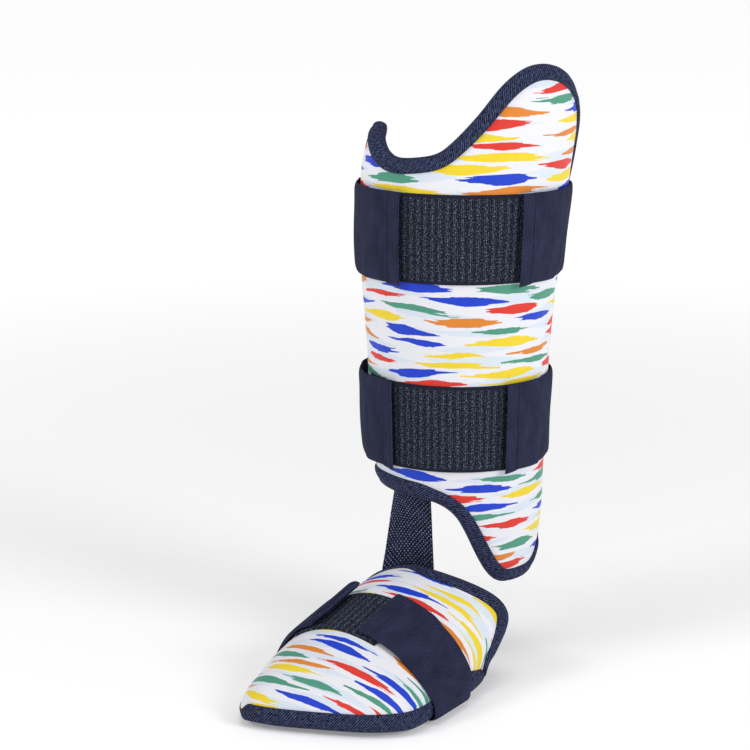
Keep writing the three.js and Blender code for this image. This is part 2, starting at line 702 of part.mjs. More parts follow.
// The webbing comes out from behind the shin guard's lower edge and goes in under the foot guard's rear one.
const WEBBING_TURN = -6; // its middle on the shin guard
const RIM_ROOM = 1.2; // further room where it bends round the foot guard's edge
const WEBBING_SIDE = -14; // its middle on the foot guard, from the crown line

function webbingBody() {
  const radius = SHIN_RADIUS * shinRadius(SHIN_BOTTOM[2].height) - SHIN_PAD;
  const behindShin = (inside) => (across, over) => {
    const angle = WEBBING_TURN + THREE.MathUtils.radToDeg(across / radius);
    return shin.inner(angle, shinBottom(angle) + inside / SHIN_LENGTH, over);
  };
  const sideAt = (across, row) =>
    search((side) => footSurface(side, row).x, FOOT_CROWN_SIDE + WEBBING_SIDE + across, 0.1, 0.9);
  const underFoot = (inside) => (across, over) => {
    const row = 1 - inside / FOOT_LENGTH;
    return footGuard.inner(sideAt(across, row), row, over + RIM_ROOM);
  };
  const roundRim = (depth, out) => (across, over) => {
    const side = sideAt(across, 1);
    const into = footSurface(side, 1 - FINE).sub(footSurface(side, 1)).normalize();
    const face = footGuard.outer(side, 1).lerp(footGuard.inner(side, 1, depth * over), depth);
    return face.addScaledVector(into, -over - out - RIM_ROOM);
  };
  const top = behindShin(-2);
  const bottom = roundRim(0.5, EDGE_BULGE);
  const between = (share) => (across, over) =>
    top(across, over).lerp(bottom(across, over), share);
  const stations = [
    behindShin(WEBBING_TUCK),
    behindShin(SHIN_TAPE_LEG / 2),
    top,
    between(0.35),
    between(0.7),
    bottom,
    roundRim(1, 0),
    underFoot(FOOT_TAPE_LEG / 2),
    underFoot(WEBBING_TUCK),
  ];
  const profile = spread(-WEBBING_WIDTH / 2, WEBBING_WIDTH / 2, 6).map((across) => ({
    across,
    low: INSIDE_BINDING,
    high: INSIDE_BINDING + WEBBING,
  }));
  return patch((station, across, over) => station(across, over), stations, profile);
}

const LOOKS = {
  print: { color: 0xf0f0f6, roughness: 0.55, metalness: 0 },
  tape: { color: 0x2b3157, roughness: 0.8, metalness: 0 },
  elastic: { color: 0x24243d, roughness: 0.75, metalness: 0 },
  loop: { color: 0x171e30, roughness: 0.95, metalness: 0 },
  hook: { color: 0x14151f, roughness: 0.6, metalness: 0 },
  webbing: { color: 0x232745, roughness: 0.7, metalness: 0 },
};

const batters_leg_guard = new THREE.Group();

function add(name, geometry, look) {
  const mesh = new THREE.Mesh(geometry, new THREE.MeshStandardMaterial(LOOKS[look]));
  mesh.name = name;
  batters_leg_guard.add(mesh);
}

add("shin_shell", shin.body(), "print");
add("shin_binding", shin.binding(), "tape");
add("foot_shell", footGuard.body(), "print");
add("foot_binding", footGuard.binding(), "tape");
add("ankle_webbing", webbingBody(), "webbing");

const strapped = [
  ...SHIN_STRAPS.map((row) => [row.name, shinStrapBodies(row)]),
  ["foot", footStrapBodies()],
];
for (const [name, bodies] of strapped) {
  add(`${name}_strap`, bodies.strap, "elastic");
  add(`${name}_loop_panel`, bodies.loop_panel, "loop");
  add(`${name}_hook_inner`, bodies.hook_inner, "hook");
  add(`${name}_hook_outer`, bodies.hook_outer, "hook");
}

// The origin is on the leg's axis, halfway between the two shin straps.
const ORIGIN_SHARE = (SHIN_STRAPS[0].height + SHIN_STRAPS[1].height) / 2;
batters_leg_guard.position.z = -(SHIN_CLEARANCE + SHIN_LENGTH * ORIGIN_SHARE);

const part = new THREE.Group();
part.add(batters_leg_guard);

export default part;
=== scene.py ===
import bmesh
import bpy
import numpy as np
from mathutils import Matrix, Vector


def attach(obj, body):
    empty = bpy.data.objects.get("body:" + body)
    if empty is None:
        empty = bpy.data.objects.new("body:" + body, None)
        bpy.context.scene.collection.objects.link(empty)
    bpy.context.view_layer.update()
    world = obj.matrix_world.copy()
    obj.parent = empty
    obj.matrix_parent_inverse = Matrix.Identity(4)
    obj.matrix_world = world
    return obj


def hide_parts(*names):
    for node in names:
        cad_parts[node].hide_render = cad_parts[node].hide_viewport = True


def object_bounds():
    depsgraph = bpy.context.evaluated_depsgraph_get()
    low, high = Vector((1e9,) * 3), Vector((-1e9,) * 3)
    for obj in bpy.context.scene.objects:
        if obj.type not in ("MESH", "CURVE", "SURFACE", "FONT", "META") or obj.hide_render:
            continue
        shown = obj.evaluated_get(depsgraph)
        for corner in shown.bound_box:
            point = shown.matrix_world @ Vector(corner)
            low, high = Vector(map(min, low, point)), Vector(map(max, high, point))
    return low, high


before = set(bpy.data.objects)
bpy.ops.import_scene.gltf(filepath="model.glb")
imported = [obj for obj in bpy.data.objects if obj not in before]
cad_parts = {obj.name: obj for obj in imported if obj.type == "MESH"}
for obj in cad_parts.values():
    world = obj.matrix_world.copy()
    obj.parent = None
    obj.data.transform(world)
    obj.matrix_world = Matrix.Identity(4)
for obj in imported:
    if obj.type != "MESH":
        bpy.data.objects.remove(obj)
CAD_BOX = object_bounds()

# Studio. The guard stands on its sole on a wide pale floor, and is looked at from in front and from its outer side,
# a little above the knee. Two large soft lights stand either side of the camera and one hangs over the guard.
SOLE = -0.262943
AZIMUTH = np.radians(36)
TILT = np.radians(12.75)
CAMERA_BACK = 1.5
CAMERA_UP = 0.556
FOCAL_PIXELS = 1948
FRAME_PIXELS = 750
AXIS_PIXEL = 460
SENSOR = 36
FLOOR_SIZE = 90
FLOOR_GAP = 0.0015
GLOW_FROM, GLOW_TO = 0.3, 2.6
GLOW_NEAR, GLOW_FAR = 0.22, 0.66
ROOM_LIGHT = 0.35

aside = np.arctan((AXIS_PIXEL - FRAME_PIXELS / 2) / FOCAL_PIXELS)
heading = np.array([-np.sin(AZIMUTH + aside), np.cos(AZIMUTH + aside), 0])
right = np.array([heading[1], -heading[0], 0])
forward = heading * np.cos(TILT) - np.array([0, 0, np.sin(TILT)])
upward = np.cross(right, forward)

lens = bpy.data.cameras.new("camera")
lens.sensor_width = SENSOR
lens.lens = FOCAL_PIXELS * SENSOR / FRAME_PIXELS
lens.clip_start = 0.05
lens.clip_end = 120
camera = bpy.data.objects.new("camera", lens)
camera.matrix_world = Matrix(np.column_stack([right, upward, -forward]).tolist()).to_4x4()
camera.location = (
    CAMERA_BACK * np.sin(AZIMUTH),
    -CAMERA_BACK * np.cos(AZIMUTH),
    SOLE + CAMERA_UP,
)
bpy.context.scene.collection.objects.link(camera)
bpy.context.scene.camera = camera
bpy.context.scene.view_settings.view_transform = "Standard"


def linear(red, green, blue):
    """A colour given as 0 to 255 display values, turned into the linear light that materials take."""
    value = np.array([red, green, blue]) / 255
    light = np.where(value <= 0.04045, value / 12.92, ((value + 0.055) / 1.055) ** 2.4)
    return (*light.tolist(), 1)


class Wire:
    """A number that runs through a material, which adds and multiplies as a plain number does."""

    def __init__(self, finish, socket):
        self.finish = finish
        self.socket = socket

    def math(self, operation, *others):
        """The result of one Math node on this number and the others."""
        return self.finish.out("ShaderNodeMath", {"operation": operation}, [self, *others])

    def __add__(self, other):
        return self.math("ADD", other)

    def __sub__(self, other):
        return self.math("SUBTRACT", other)

    def __mul__(self, other):
        return self.math("MULTIPLY", other)

    def __truediv__(self, other):
        return self.math("DIVIDE", other)

    def __pow__(self, other):
        return self.math("POWER", other)

    def __rsub__(self, other):
        return self.finish.out("ShaderNodeMath", {"operation": "SUBTRACT"}, [other, self])

    def __neg__(self):
        return self * -1

    def __abs__(self):
        return self.math("ABSOLUTE")

    __radd__ = __add__
    __rmul__ = __mul__


class Finish:
    """A material under the name of what it is the finish of, with the patterns that cloths share."""

    def __init__(self, name, rough, shine=0.3):
        self.material = bpy.data.materials.new(name)
        self.material.use_nodes = True
        self.tree = self.material.node_tree
        self.surface = self.tree.nodes["Principled BSDF"]
        self.surface.inputs["Roughness"].default_value = rough
        self.surface.inputs["Specular IOR Level"].default_value = shine

    def node(self, kind, settings=None, values=()):
        """Adds a node, makes its settings, then gives its sockets their values or links, by order or by name."""
        made = self.tree.nodes.new(kind)
        for key, value in (settings or {}).items():
            setattr(made, key, value)
        pairs = values.items() if isinstance(values, dict) else enumerate(values)
        for key, value in pairs:
            if isinstance(value, Wire):
                self.tree.links.new(value.socket, made.inputs[key])
            else:
                made.inputs[key].default_value = value
        return made

    def out(self, kind, settings=None, values=(), output=0):
        """Adds a node and gives the number or colour that comes out of it."""
        return Wire(self, self.node(kind, settings, values).outputs[output])

    def pattern(self):
        """The piece's own pattern places, in millimetres."""
        place = self.out("ShaderNodeUVMap", {"uv_map": "pattern"})
        split = self.node("ShaderNodeSeparateXYZ", values=[place])
        return Wire(self, split.outputs[0]), Wire(self, split.outputs[1])

    def point(self, x, y, z):
        """Three numbers as one place."""
        return self.out("ShaderNodeCombineXYZ", values=[x, y, z])

    def cloud(self, x, y, detail=2.0, seed=0.0):
        """Soft noise about 0, one unit of x or y to a cloud."""
        made = self.out(
            "ShaderNodeTexNoise",
            values={"Vector": self.point(x, y, seed), "Scale": 1.0, "Detail": detail, "Roughness": 0.55},
        )
        return made - 0.5

    def dice(self, x, y, seed):
        """Three even random numbers from 0 to 1 for each whole x and y."""
        made = self.node("ShaderNodeTexWhiteNoise", {"noise_dimensions": "3D"}, [self.point(x, y, seed)])
        split = self.node("ShaderNodeSeparateColor", values=[Wire(self, made.outputs["Color"])])
        return [Wire(self, split.outputs[i]) for i in range(3)]

    def ease(self, value, low, high, start=0.0, end=1.0):
        """Start where value is low and end where it is high, with a smooth rise between."""
        return self.out(
            "ShaderNodeMapRange",
            {"interpolation_type": "SMOOTHSTEP"},
            {"Value": value, "From Min": low, "From Max": high, "To Min": start, "To Max": end},
        )

    def blend(self, share, first, second):
        """Colour first where share is 0 and second where it is 1."""
        made = self.node("ShaderNodeMix", {"data_type": "RGBA"})
        for key, value in ((0, share), (6, first), (7, second)):
            if isinstance(value, Wire):
                self.tree.links.new(value.socket, made.inputs[key])
            else:
                made.inputs[key].default_value = value
        return Wire(self, made.outputs[2])

    def feed(self, name, wire):
        """Links a number or a colour to a socket of the surface."""
        self.tree.links.new(wire.socket, self.surface.inputs[name])

    def relief(self, height, deep):
        """Raises the surface by height, a share of deep, which is in metres."""
        made = self.out("ShaderNodeBump", values={"Height": height, "Distance": deep, "Strength": 1.0})
        self.feed("Normal", made)


floor_finish = Finish("floor_paper", 0.9)
floor_finish.surface.inputs["Base Color"].default_value = linear(243, 243, 244)
place = floor_finish.node("ShaderNodeTexCoord")
away = floor_finish.out(
    "ShaderNodeVectorMath", {"operation": "LENGTH"}, [Wire(floor_finish, place.outputs["Object"])], output="Value"
)
glow = floor_finish.ease(away, GLOW_FROM, GLOW_TO, GLOW_NEAR, GLOW_FAR)
floor_finish.surface.inputs["Emission Strength"].default_value = 1
floor_finish.feed("Emission Color", floor_finish.out("ShaderNodeCombineColor", values=[glow, glow, glow]))
bpy.ops.mesh.primitive_plane_add(size=FLOOR_SIZE, location=(0, 0, CAD_BOX[0].z - FLOOR_GAP))
floor = bpy.context.object
floor.name = "floor"
floor.data.transform(Matrix.Translation(floor.location))
floor.location = (0, 0, 0)
floor.data.materials.append(floor_finish.material)

# name, degrees round from the toe, metres away and up, width of the disc, watts
LIGHTS = (
    ("left_light", -26, 2.1, 1.3, 1.0, 17),
    ("right_light", 92, 2.2, 1.1, 1.0, 24),
    ("top_light", 36, 0.5, 2.3, 1.4, 14),
)
for name, around, away, above, size, watts in LIGHTS:
    light = bpy.data.lights.new(name, "AREA")
    light.shape = "DISK"
    light.size = size
    light.energy = watts
    lamp = bpy.data.objects.new(name, light)
    turn = np.radians(around)
    lamp.location = (away * np.sin(turn), -away * np.cos(turn), above)
    lamp.rotation_euler = (-Vector(lamp.location)).to_track_quat("-Z", "Y").to_euler()
    bpy.context.scene.collection.objects.link(lamp)

world = bpy.data.worlds.new("studio")
world.use_nodes = True
room = world.node_tree.nodes["Background"]
room.inputs["Color"].default_value = (1, 1, 1, 1)
room.inputs["Strength"].default_value = ROOM_LIGHT
bpy.context.scene.world = world

# Shin guard. A sheet of foam is moulded round the shin between a smooth printed cloth outside and a dark knitted
# lining inside. It narrows to the ankle, its outer wing stands up past the knee and leans away from it, and the low
# outer point covers the ankle bone. Its rim is pressed thinner, for the tape that is sewn over it.
SHIN_LENGTH = 395.5
SHIN_CLEARANCE = 64.6
SHIN_RADIUS = 77
SHIN_PAD = 10
WING_FLARE = 16
WING_LEAN = 9
INNER_REACH = 74
OUTER_REACH = 133
ROLL_INSIDE = 0.8
ROLL_WIDTH = 15
FLARE_ANGLES = (15, 100)
LEAN_ANGLES = (5, 60)
EDGE_STEP = 2.4
STRIDES = 24

# height, radius, flare and lean as shares
SHIN_FORM = np.array(
    [
        (0, 0.827, 0, 0.5),
        (0.13, 0.878, 0, 0.8),
        (0.19, 0.886, 0, 0.65),
        (0.25, 0.894, 0, 0.1),
        (0.42, 0.924, 0, 0),
        (0.5, 0.95, 0, 0),
        (0.57, 0.98, 0.02, 0),
        (0.66, 1, 0.16, 0),
        (0.77, 0.995, 0.44, 0),
        (0.81, 0.99, 0.56, 0.1),
        (0.845, 0.988, 0.68, 0.5),
        (0.88, 0.982, 0.81, 1),
        (1, 0.965, 1, 1.1),
    ]
)
# angle round the leg, height of the edge as a share
SHIN_TOP = np.array(
    [
        (-50, 0.885), (-35, 0.873), (-26, 0.857), (-18, 0.84), (-7, 0.8273),
        (10, 0.8293), (24, 0.84), (34, 0.8658), (46, 0.908), (61, 0.969),
        (74, 0.998), (90, 1), (111, 0.985),
    ]
)
SHIN_BOTTOM = np.array(
    [
        (-52, 0.177), (-20, 0.182), (5, 0.178), (20, 0.174), (30, 0.162), (38, 0.141),
        (45, 0.107), (53, 0.062), (61, 0.026), (70, 0.004), (80, 0),
    ]
)


def through(table, column):
    """A smooth curve through a table's rows. Between two rows it is the cubic that has, at each row, the slope
    between that row's neighbours, and it is level beyond the ends."""
    xs, ys = table[:, 0], table[:, column]
    order = np.arange(len(xs))
    before, after = np.maximum(order - 1, 0), np.minimum(order + 1, len(xs) - 1)
    slopes = (ys[after] - ys[before]) / (xs[after] - xs[before])

    def curve(x):
        x = np.clip(x, xs[0], xs[-1])
        i = np.clip(np.searchsorted(xs, x, side="right") - 1, 0, len(xs) - 2)
        width = xs[i + 1] - xs[i]
        t = (x - xs[i]) / width
        step = t * t * (3 - 2 * t)
        bend = (t - t * t) * width * ((1 - t) * slopes[i] - t * slopes[i + 1])
        return ys[i] * (1 - step) + ys[i + 1] * step + bend

    return curve


def ease(low, high, x):
    """0 up to low and 1 from high, with a smooth rise between: 3 t squared less 2 t cubed."""
    t = np.clip((x - low) / (high - low), 0, 1)
    return t * t * (3 - 2 * t)


def unit(vectors):
    """Each vector divided by its length."""
    return vectors / np.linalg.norm(vectors, axis=-1, keepdims=True)


def shin_edge(table, inner_width, inner_side, outer_width, outer_side):
    """The height of an edge at each angle: the table's curve, pulled to the side's height by a quarter ellipse
    across each corner's width."""
    line = through(table, 1)

    def edge(angle):
        near_inner = (inner_width - INNER_REACH - angle) / inner_width
        near_outer = (angle - OUTER_REACH + outer_width) / outer_width
        side = np.where(near_inner > 0, inner_side, outer_side)
        near = np.clip(np.maximum(near_inner, near_outer), 0, 1)
        return side + (line(angle) - side) * np.sqrt(1 - near * near)

    return edge


shin_top = shin_edge(SHIN_TOP, inner_width=24, inner_side=0.745, outer_width=54, outer_side=0.843)
shin_bottom = shin_edge(SHIN_BOTTOM, inner_width=22, inner_side=0.25, outer_width=40, outer_side=0.15)
shin_radius, shin_flare, shin_lean = (through(SHIN_FORM, column) for column in (1, 2, 3))
BACK_MIDDLE = (360 + OUTER_REACH - INNER_REACH) / 2


def shin_place(angle, height):
    """A circle round the leg at each height share, whose radius follows the calf, grows over the outer wing and
    shrinks over the inner one."""
    turned = np.where(angle > BACK_MIDDLE, angle - 360, angle)
    fade = 1 - ease(OUTER_REACH, BACK_MIDDLE, angle)
    radius = (
        SHIN_RADIUS * shin_radius(height)
        + WING_FLARE * shin_flare(height) * ease(*FLARE_ANGLES, turned) * fade
        - WING_LEAN * shin_lean(height) * ease(*LEAN_ANGLES, -turned)
    )
    turn = np.radians(angle)
    level = SHIN_CLEARANCE + SHIN_LENGTH * height
    return np.stack([radius * np.sin(turn), -radius * np.cos(turn), level + 0 * radius], -1)


class Shell:
    """A padded shell over a surface, with the places of its edge one after another, evenly spaced. The way in from
    each is the cross of the square to the surface and the line of the edge."""

    def __init__(self, place, edge, pad, roll, steps, least, centre, hold=((-np.inf, np.inf),) * 2):
        self.place = place
        self.pad = pad
        self.roll = roll
        self.steps = steps
        self.least = least
        self.hold = hold
        lengths = np.linalg.norm(np.diff(place(*edge.T), axis=0), axis=1)
        run = np.concatenate([[0], np.cumsum(lengths)])
        count = int(run[-1] / EDGE_STEP)
        even = np.linspace(0, run[-1], count, endpoint=False)
        self.edge = np.stack([np.interp(even, run, edge[:, k]) for k in (0, 1)], -1)
        self.along = even
        self.length = run[-1]
        self.rim = place(*self.edge.T)
        along = unit(np.roll(self.rim, -2, axis=0) - np.roll(self.rim, 2, axis=0))
        toward = place(*(self.edge + (np.array(centre) - self.edge) / 8).T) - self.rim
        into = unit(np.cross(self.normal(*self.edge.T), along))
        self.into = into * np.sign((into * toward).sum(-1, keepdims=True))
        self.centre = centre

    def normal(self, a, b):
        """Square to the surface: the cross of its two slopes, each taken across a small step."""
        b = np.maximum(b, self.least)
        da, db = self.steps
        along_a = self.place(a + da, b) - self.place(a - da, b)
        along_b = self.place(a, b + db) - self.place(a, b - db)
        return unit(np.cross(along_a, along_b))

    def inside(self, points):
        """The distance from each point to the nearest place of the edge."""
        flat = points.reshape(-1, 3)
        near = [
            np.linalg.norm(part[:, None] - self.rim[None], axis=-1).min(1)
            for part in np.array_split(flat, max(1, len(flat) // 3000))
        ]
        return np.concatenate(near).reshape(points.shape[:-1])

    def thin(self, points):
        """How much the padding thins: the square of the share of the roll's width left to the nearest edge."""
        return np.maximum(0, 1 - self.inside(points)[..., None] / ROLL_WIDTH) ** 2

    def outer(self, a, b, over=0.0):
        """Places over the outer face, which is the surface lowered by the roll where the padding thins."""
        points = self.place(a, b)
        return points + self.normal(a, b) * (np.asarray(over)[..., None] - self.roll * self.thin(points))

    def inner(self, a, b, under=0.0):
        """Places under the inner face, which lies the padding's depth below the surface, less where it thins."""
        points = self.place(a, b)
        deep = self.pad(a, b)[..., None] - ROLL_INSIDE * self.thin(points)
        return points - self.normal(a, b) * (deep + np.asarray(under)[..., None])

    def walk(self, reach, stops):
        """Goes straight in over the surface from every edge place at once, and gives the places passed at each
        stop, as a share of each one's reach."""
        a, b = self.edge.T
        into = self.into.copy()
        found = [(a, b)]
        for step in range(STRIDES):
            # the first slopes are taken a little way in, because the surface can come to a point at its edge
            ahead = 0.02 if step == 0 else 0
            here_a, here_b = a + (self.centre[0] - a) * ahead, b + (self.centre[1] - b) * ahead
            here = self.place(here_a, here_b)
            along_a = (self.place(here_a + self.steps[0], here_b) - here) / self.steps[0]
            along_b = (self.place(here_a, here_b + self.steps[1]) - here) / self.steps[1]
            square = self.normal(here_a, here_b)
            into = unit(into - square * (into * square).sum(-1, keepdims=True))
            aa, ab, bb = ((p * q).sum(-1) for p, q in ((along_a, along_a), (along_a, along_b), (along_b, along_b)))
            ia, ib = (into * along_a).sum(-1), (into * along_b).sum(-1)
            scale = reach / STRIDES / (aa * bb - ab * ab)
            a = np.clip(a + (ia * bb - ib * ab) * scale, *self.hold[0])
            b = np.clip(b + (ib * aa - ia * ab) * scale, *self.hold[1])
            found.append((a, b))
        at = np.array(stops) * STRIDES
        low = np.minimum(at.astype(int), STRIDES - 1)
        share = at - low
        return [
            tuple(found[i][k] * (1 - t) + found[i + 1][k] * t for k in (0, 1)) for i, t in zip(low, share)
        ]


def crowd(low, high, count):
    """Places from low to high that crowd toward both ends, as the heights of points spaced evenly round a half
    circle do."""
    return low + (high - low) * (1 - np.cos(np.linspace(0, np.pi, count))) / 2


def shin_share(angle, share):
    """A place given by its share of the way from the low edge to the top one."""
    bottom, top = shin_bottom(angle), shin_top(angle)
    return np.stack([angle, bottom + (top - bottom) * share], -1)


round_leg = crowd(-INNER_REACH, OUTER_REACH, 3000)
up_side = np.linspace(0, 1, 400)
shin_rim = np.concatenate(
    [
        shin_share(round_leg, 0),
        shin_share(np.full(400, OUTER_REACH), up_side),
        shin_share(round_leg[::-1], 1),
        shin_share(np.full(400, -INNER_REACH), up_side[::-1]),
    ]
)
shin = Shell(
    shin_place,
    shin_rim,
    lambda a, b: SHIN_PAD + 0 * a,
    roll=3,
    steps=(0.05, 0.0002),
    least=-1,
    centre=((OUTER_REACH - INNER_REACH) / 2, 0.5),
)


def sewn_piece(name, parts, finishes):
    """One closed mesh from grids of points in millimetres above the sole. Each part is points, their places in the
    cloth's pattern and the number of its finish. Grids that share an edge are joined there."""
    corners, points, patterns, marks = [], [], [], []
    start = 0
    for grid, pattern, mark in parts:
        rows, columns = grid.shape[:2]
        index = np.arange(rows * columns).reshape(rows, columns)
        quads = np.stack([index[:-1, :-1], index[:-1, 1:], index[1:, 1:], index[1:, :-1]], -1).reshape(-1, 4)
        corners.append(quads + start)
        points.append(grid.reshape(-1, 3))
        patterns.append(np.broadcast_to(pattern, (rows, columns, 2)).reshape(-1, 2)[quads].reshape(-1, 2))
        marks.append(np.full(len(quads), mark))
        start += rows * columns
    mesh = bpy.data.meshes.new(name)
    mesh.from_pydata(np.concatenate(points) * 0.001 + [0, 0, SOLE], [], np.concatenate(corners))
    mesh.uv_layers.new(name="pattern").data.foreach_set("uv", np.concatenate(patterns).ravel())
    mesh.polygons.foreach_set("material_index", np.concatenate(marks).astype(np.int32))
    mesh.polygons.foreach_set("use_smooth", np.ones(len(mesh.polygons), bool))
    sewing = bmesh.new()
    sewing.from_mesh(mesh)
    bmesh.ops.remove_doubles(sewing, verts=sewing.verts, dist=2e-6)
    bmesh.ops.recalc_face_normals(sewing, faces=sewing.faces)
    sewing.to_mesh(mesh)
    sewing.free()
    for finish in finishes:
        mesh.materials.append(finish.material)
    piece = bpy.data.objects.new(name, mesh)
    bpy.context.scene.collection.objects.link(piece)
    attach(piece, "root")
    return piece


def shell_parts(shell, a, b, pattern):
    """The two faces of a padded shell over a grid of places, and the wall between them round the grid's border."""
    face, back = shell.outer(a, b), shell.inner(a, b)
    parts = [(face, pattern, 0), (back, pattern, 1)]
    for line in (np.s_[0, :], np.s_[-1, :], np.s_[:, 0], np.s_[:, -1]):
        parts.append((np.stack([face[line], back[line]]), np.stack([pattern[line], pattern[line]]), 1))
    return parts


angles = crowd(-INNER_REACH, OUTER_REACH, 230)[None]
shares = crowd(0, 1, 100)[:, None]
heights = shin_bottom(angles) * (1 - shares) + shin_top(angles) * shares
angles = angles + 0 * shares
shin_pattern = np.stack([np.radians(angles) * SHIN_RADIUS, heights * SHIN_LENGTH], -1)

# The print: brush marks in five colours, one after another along rows that follow the rings of the leg, over
# broader marks of the palest blue.
BASE_WHITE = linear(238, 238, 245)
PALE_BLUE = linear(210, 227, 242)
MARKS = (
    (0.0, linear(22, 64, 206)),
    (0.2, linear(244, 216, 48)),
    (0.48, linear(78, 154, 128)),
    (0.66, linear(228, 136, 46)),
    (0.82, linear(226, 56, 44)),
)


def brush_marks(finish, along, across, pitch, length, thick, seed):
    """Where a brush mark lies, and its number for a colour. Rows a pitch apart are cut into lengths, each with one
    mark: a spindle whose belly is thick, with waving edges and ends that split into threads."""
    across = across + finish.cloud(along / 75, across / 40, 1.0, seed) * 9
    row = (across / pitch).math("FLOOR")
    rise = across - (row + 0.5) * pitch
    shift = finish.dice(row, row * 3, seed)[0]
    place = along / length + shift * 7
    cell = place.math("FLOOR")
    first = finish.dice(cell, row, seed)
    second = finish.dice(cell, row, seed + 5)
    reach = (place - cell - 0.5) * length - (first[0] - 0.5) * length * 0.14
    share = reach / ((first[1] * 0.17 + 0.33) * length)
    lean = share + (second[2] - 0.5) * 0.5 * (1 - share * share)
    body = (1 - lean * lean).math("MAXIMUM", 0.0) ** 1.25
    off = rise - (second[1] - 0.5) * pitch * 0.22 - reach * (second[0] - 0.5) * 0.1
    waves = finish.cloud(along / 9, across / 5, 3.0, seed + 2) * 2.2
    threads = finish.cloud(along / 32, across * 0.6, 1.0, seed + 3) * abs(lean) ** 1.6 * 13
    cover = body * (first[2] * 0.5 + 0.58) * thick + (waves + threads) * body ** 0.2 - abs(off) - 0.1
    number = cell * 0.381 + row * 0.237 + first[0] * 0.12
    return finish.ease(cover, -0.14, 0.14), number.math("FRACT")


print_cloth = Finish("print_cloth", 0.46)
along, across = print_cloth.pattern()
mark, number = brush_marks(print_cloth, along, across, pitch=8.2, length=77, thick=4.0, seed=3.0)
pale, _ = brush_marks(print_cloth, along, across, pitch=13, length=110, thick=4.4, seed=11.0)
ramp = print_cloth.node("ShaderNodeValToRGB", values=[number])
ramp.color_ramp.interpolation = "CONSTANT"
for stop, (start, colour) in enumerate(MARKS):
    point = ramp.color_ramp.elements[stop] if stop < 2 else ramp.color_ramp.elements.new(start)
    point.position = start
    point.color = colour
ground = print_cloth.blend(pale * 0.6, BASE_WHITE, PALE_BLUE)
print_cloth.feed("Base Color", print_cloth.blend(mark, ground, Wire(print_cloth, ramp.outputs[0])))
threads = (along * 9).math("SINE") * (across * 9).math("SINE")
print_cloth.relief(threads * 0.06 + print_cloth.cloud(along / 12, across / 12), 0.0006)
print_cloth.feed("Roughness", 0.47 + print_cloth.cloud(along / 30, across / 30) * 0.1)

lining = Finish("lining", 0.9)
along, across = lining.pattern()
knit = (along * 2.3).math("SINE") * (across * 2.3).math("SINE")
pores = lining.ease(knit + lining.cloud(along, across) * 0.5, 0.1, 0.75)
worn = lining.ease(lining.cloud(along / 45, across / 45, 3.0), -0.2, 0.2)
cloth = lining.blend(worn, linear(56, 60, 86), linear(72, 76, 104))
lining.feed("Base Color", lining.blend(pores, cloth, linear(22, 25, 38)))
lining.relief(-pores, 0.0007)

shin_cover = sewn_piece("shin_cover", shell_parts(shin, angles, heights, shin_pattern), [print_cloth, lining])
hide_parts("shin_shell")

# Edge tape of the shin guard. A navy twill tape, folded over the whole rim and sewn through, is drawn so full over
# the foam that it stands up as a round roll. It lies flatter under the straps and along the low sides, and is widest
# along the front of the low edge.
TAPE_LEG = 8.5
EDGE_FULL = 3
STRAP_HEIGHTS = (0.686, 0.317)


def run_of(points, axis):
    """How far along its rows or columns each point of a grid lies, in millimetres."""
    steps = np.linalg.norm(np.diff(points, axis=axis), axis=-1)
    first = np.zeros_like(np.take(steps, [0], axis=axis))
    return np.concatenate([first, np.cumsum(steps, axis=axis)], axis=axis)


def tape_parts(shell, leg, press):
    """A tape carried along the rim. Its section runs from its end on the outer face over a rounded hump, round the
    rim on a half ellipse, to its end on the inner face, and back close to the shell."""
    stops = np.array([1, 0.97, 0.9, 0.78, 0.62, 0.45, 0.28, 0.12])
    rises = np.array([0.1, 1.0, 1.75, 2.45, 2.95, 3.05, 2.85, 2.5])
    places = shell.walk(leg, stops)
    press = press * np.minimum(1, 0.3 + leg / 9) + 0 * shell.along
    over = [shell.outer(*p, r * press) for p, r in zip(places, rises)]
    under = [shell.inner(*p, 1.6 * (1 - s**8) + 0.2) for p, s in zip(places, stops)]
    top, low = over[-1], under[-1]
    middle, half = (top + low) / 2, (top - low) / 2
    reach = np.reshape(EDGE_FULL + stops[-1] * leg, (-1, 1))
    turns = np.linspace(0, np.pi, 9)[1:-1]
    rim = [middle + half * np.cos(t) - shell.into * reach * np.sin(t) for t in turns]
    close = [shell.inner(*p, 0.1) for p in (places[0], places[4])]
    close += [shell.outer(*p, 0.05) for p in (places[4], places[0])]
    ring = np.stack([*over, *rim, *under[::-1], *close, over[0]], 1)
    for _ in range(3):
        ring = (np.roll(ring, 1, axis=0) + 2 * ring + np.roll(ring, -1, axis=0)) / 4
    ring = np.concatenate([ring, ring[:1]])
    wide = run_of(ring, 1)
    down = np.broadcast_to(np.append(shell.along, shell.length)[:, None], wide.shape)
    return [(ring, np.stack([down, wide], -1), 0)]


twill = Finish("twill_tape", 0.72, 0.12)
along, across = twill.pattern()
wander = twill.cloud(along / 6, across / 6, 1.0) * 0.5
rib = ((along * 0.74 + across * 0.67 + wander) * (2 * np.pi / 1.5)).math("SINE")
cross_rib = ((along * 0.6 - across * 0.8) * (2 * np.pi / 0.95)).math("SINE")
streak = twill.cloud((across * 0.74 - along * 0.67) / 3, (along * 0.74 + across * 0.67) / 1.05, 2.0, 4.0)
blotch = twill.cloud(along / 2.5, across / 2.5, 3.0)
lit = twill.ease(rib * 0.6 + cross_rib * 0.3 + streak * 3 + blotch * 1.9, -0.65, 1.4)
twill.feed("Base Color", twill.blend(lit, linear(5, 8, 22), linear(112, 124, 178)))
twill.relief(rib * 0.7 + cross_rib * 0.3 + twill.cloud(along / 5, across / 3) * 1.5, 0.0008)

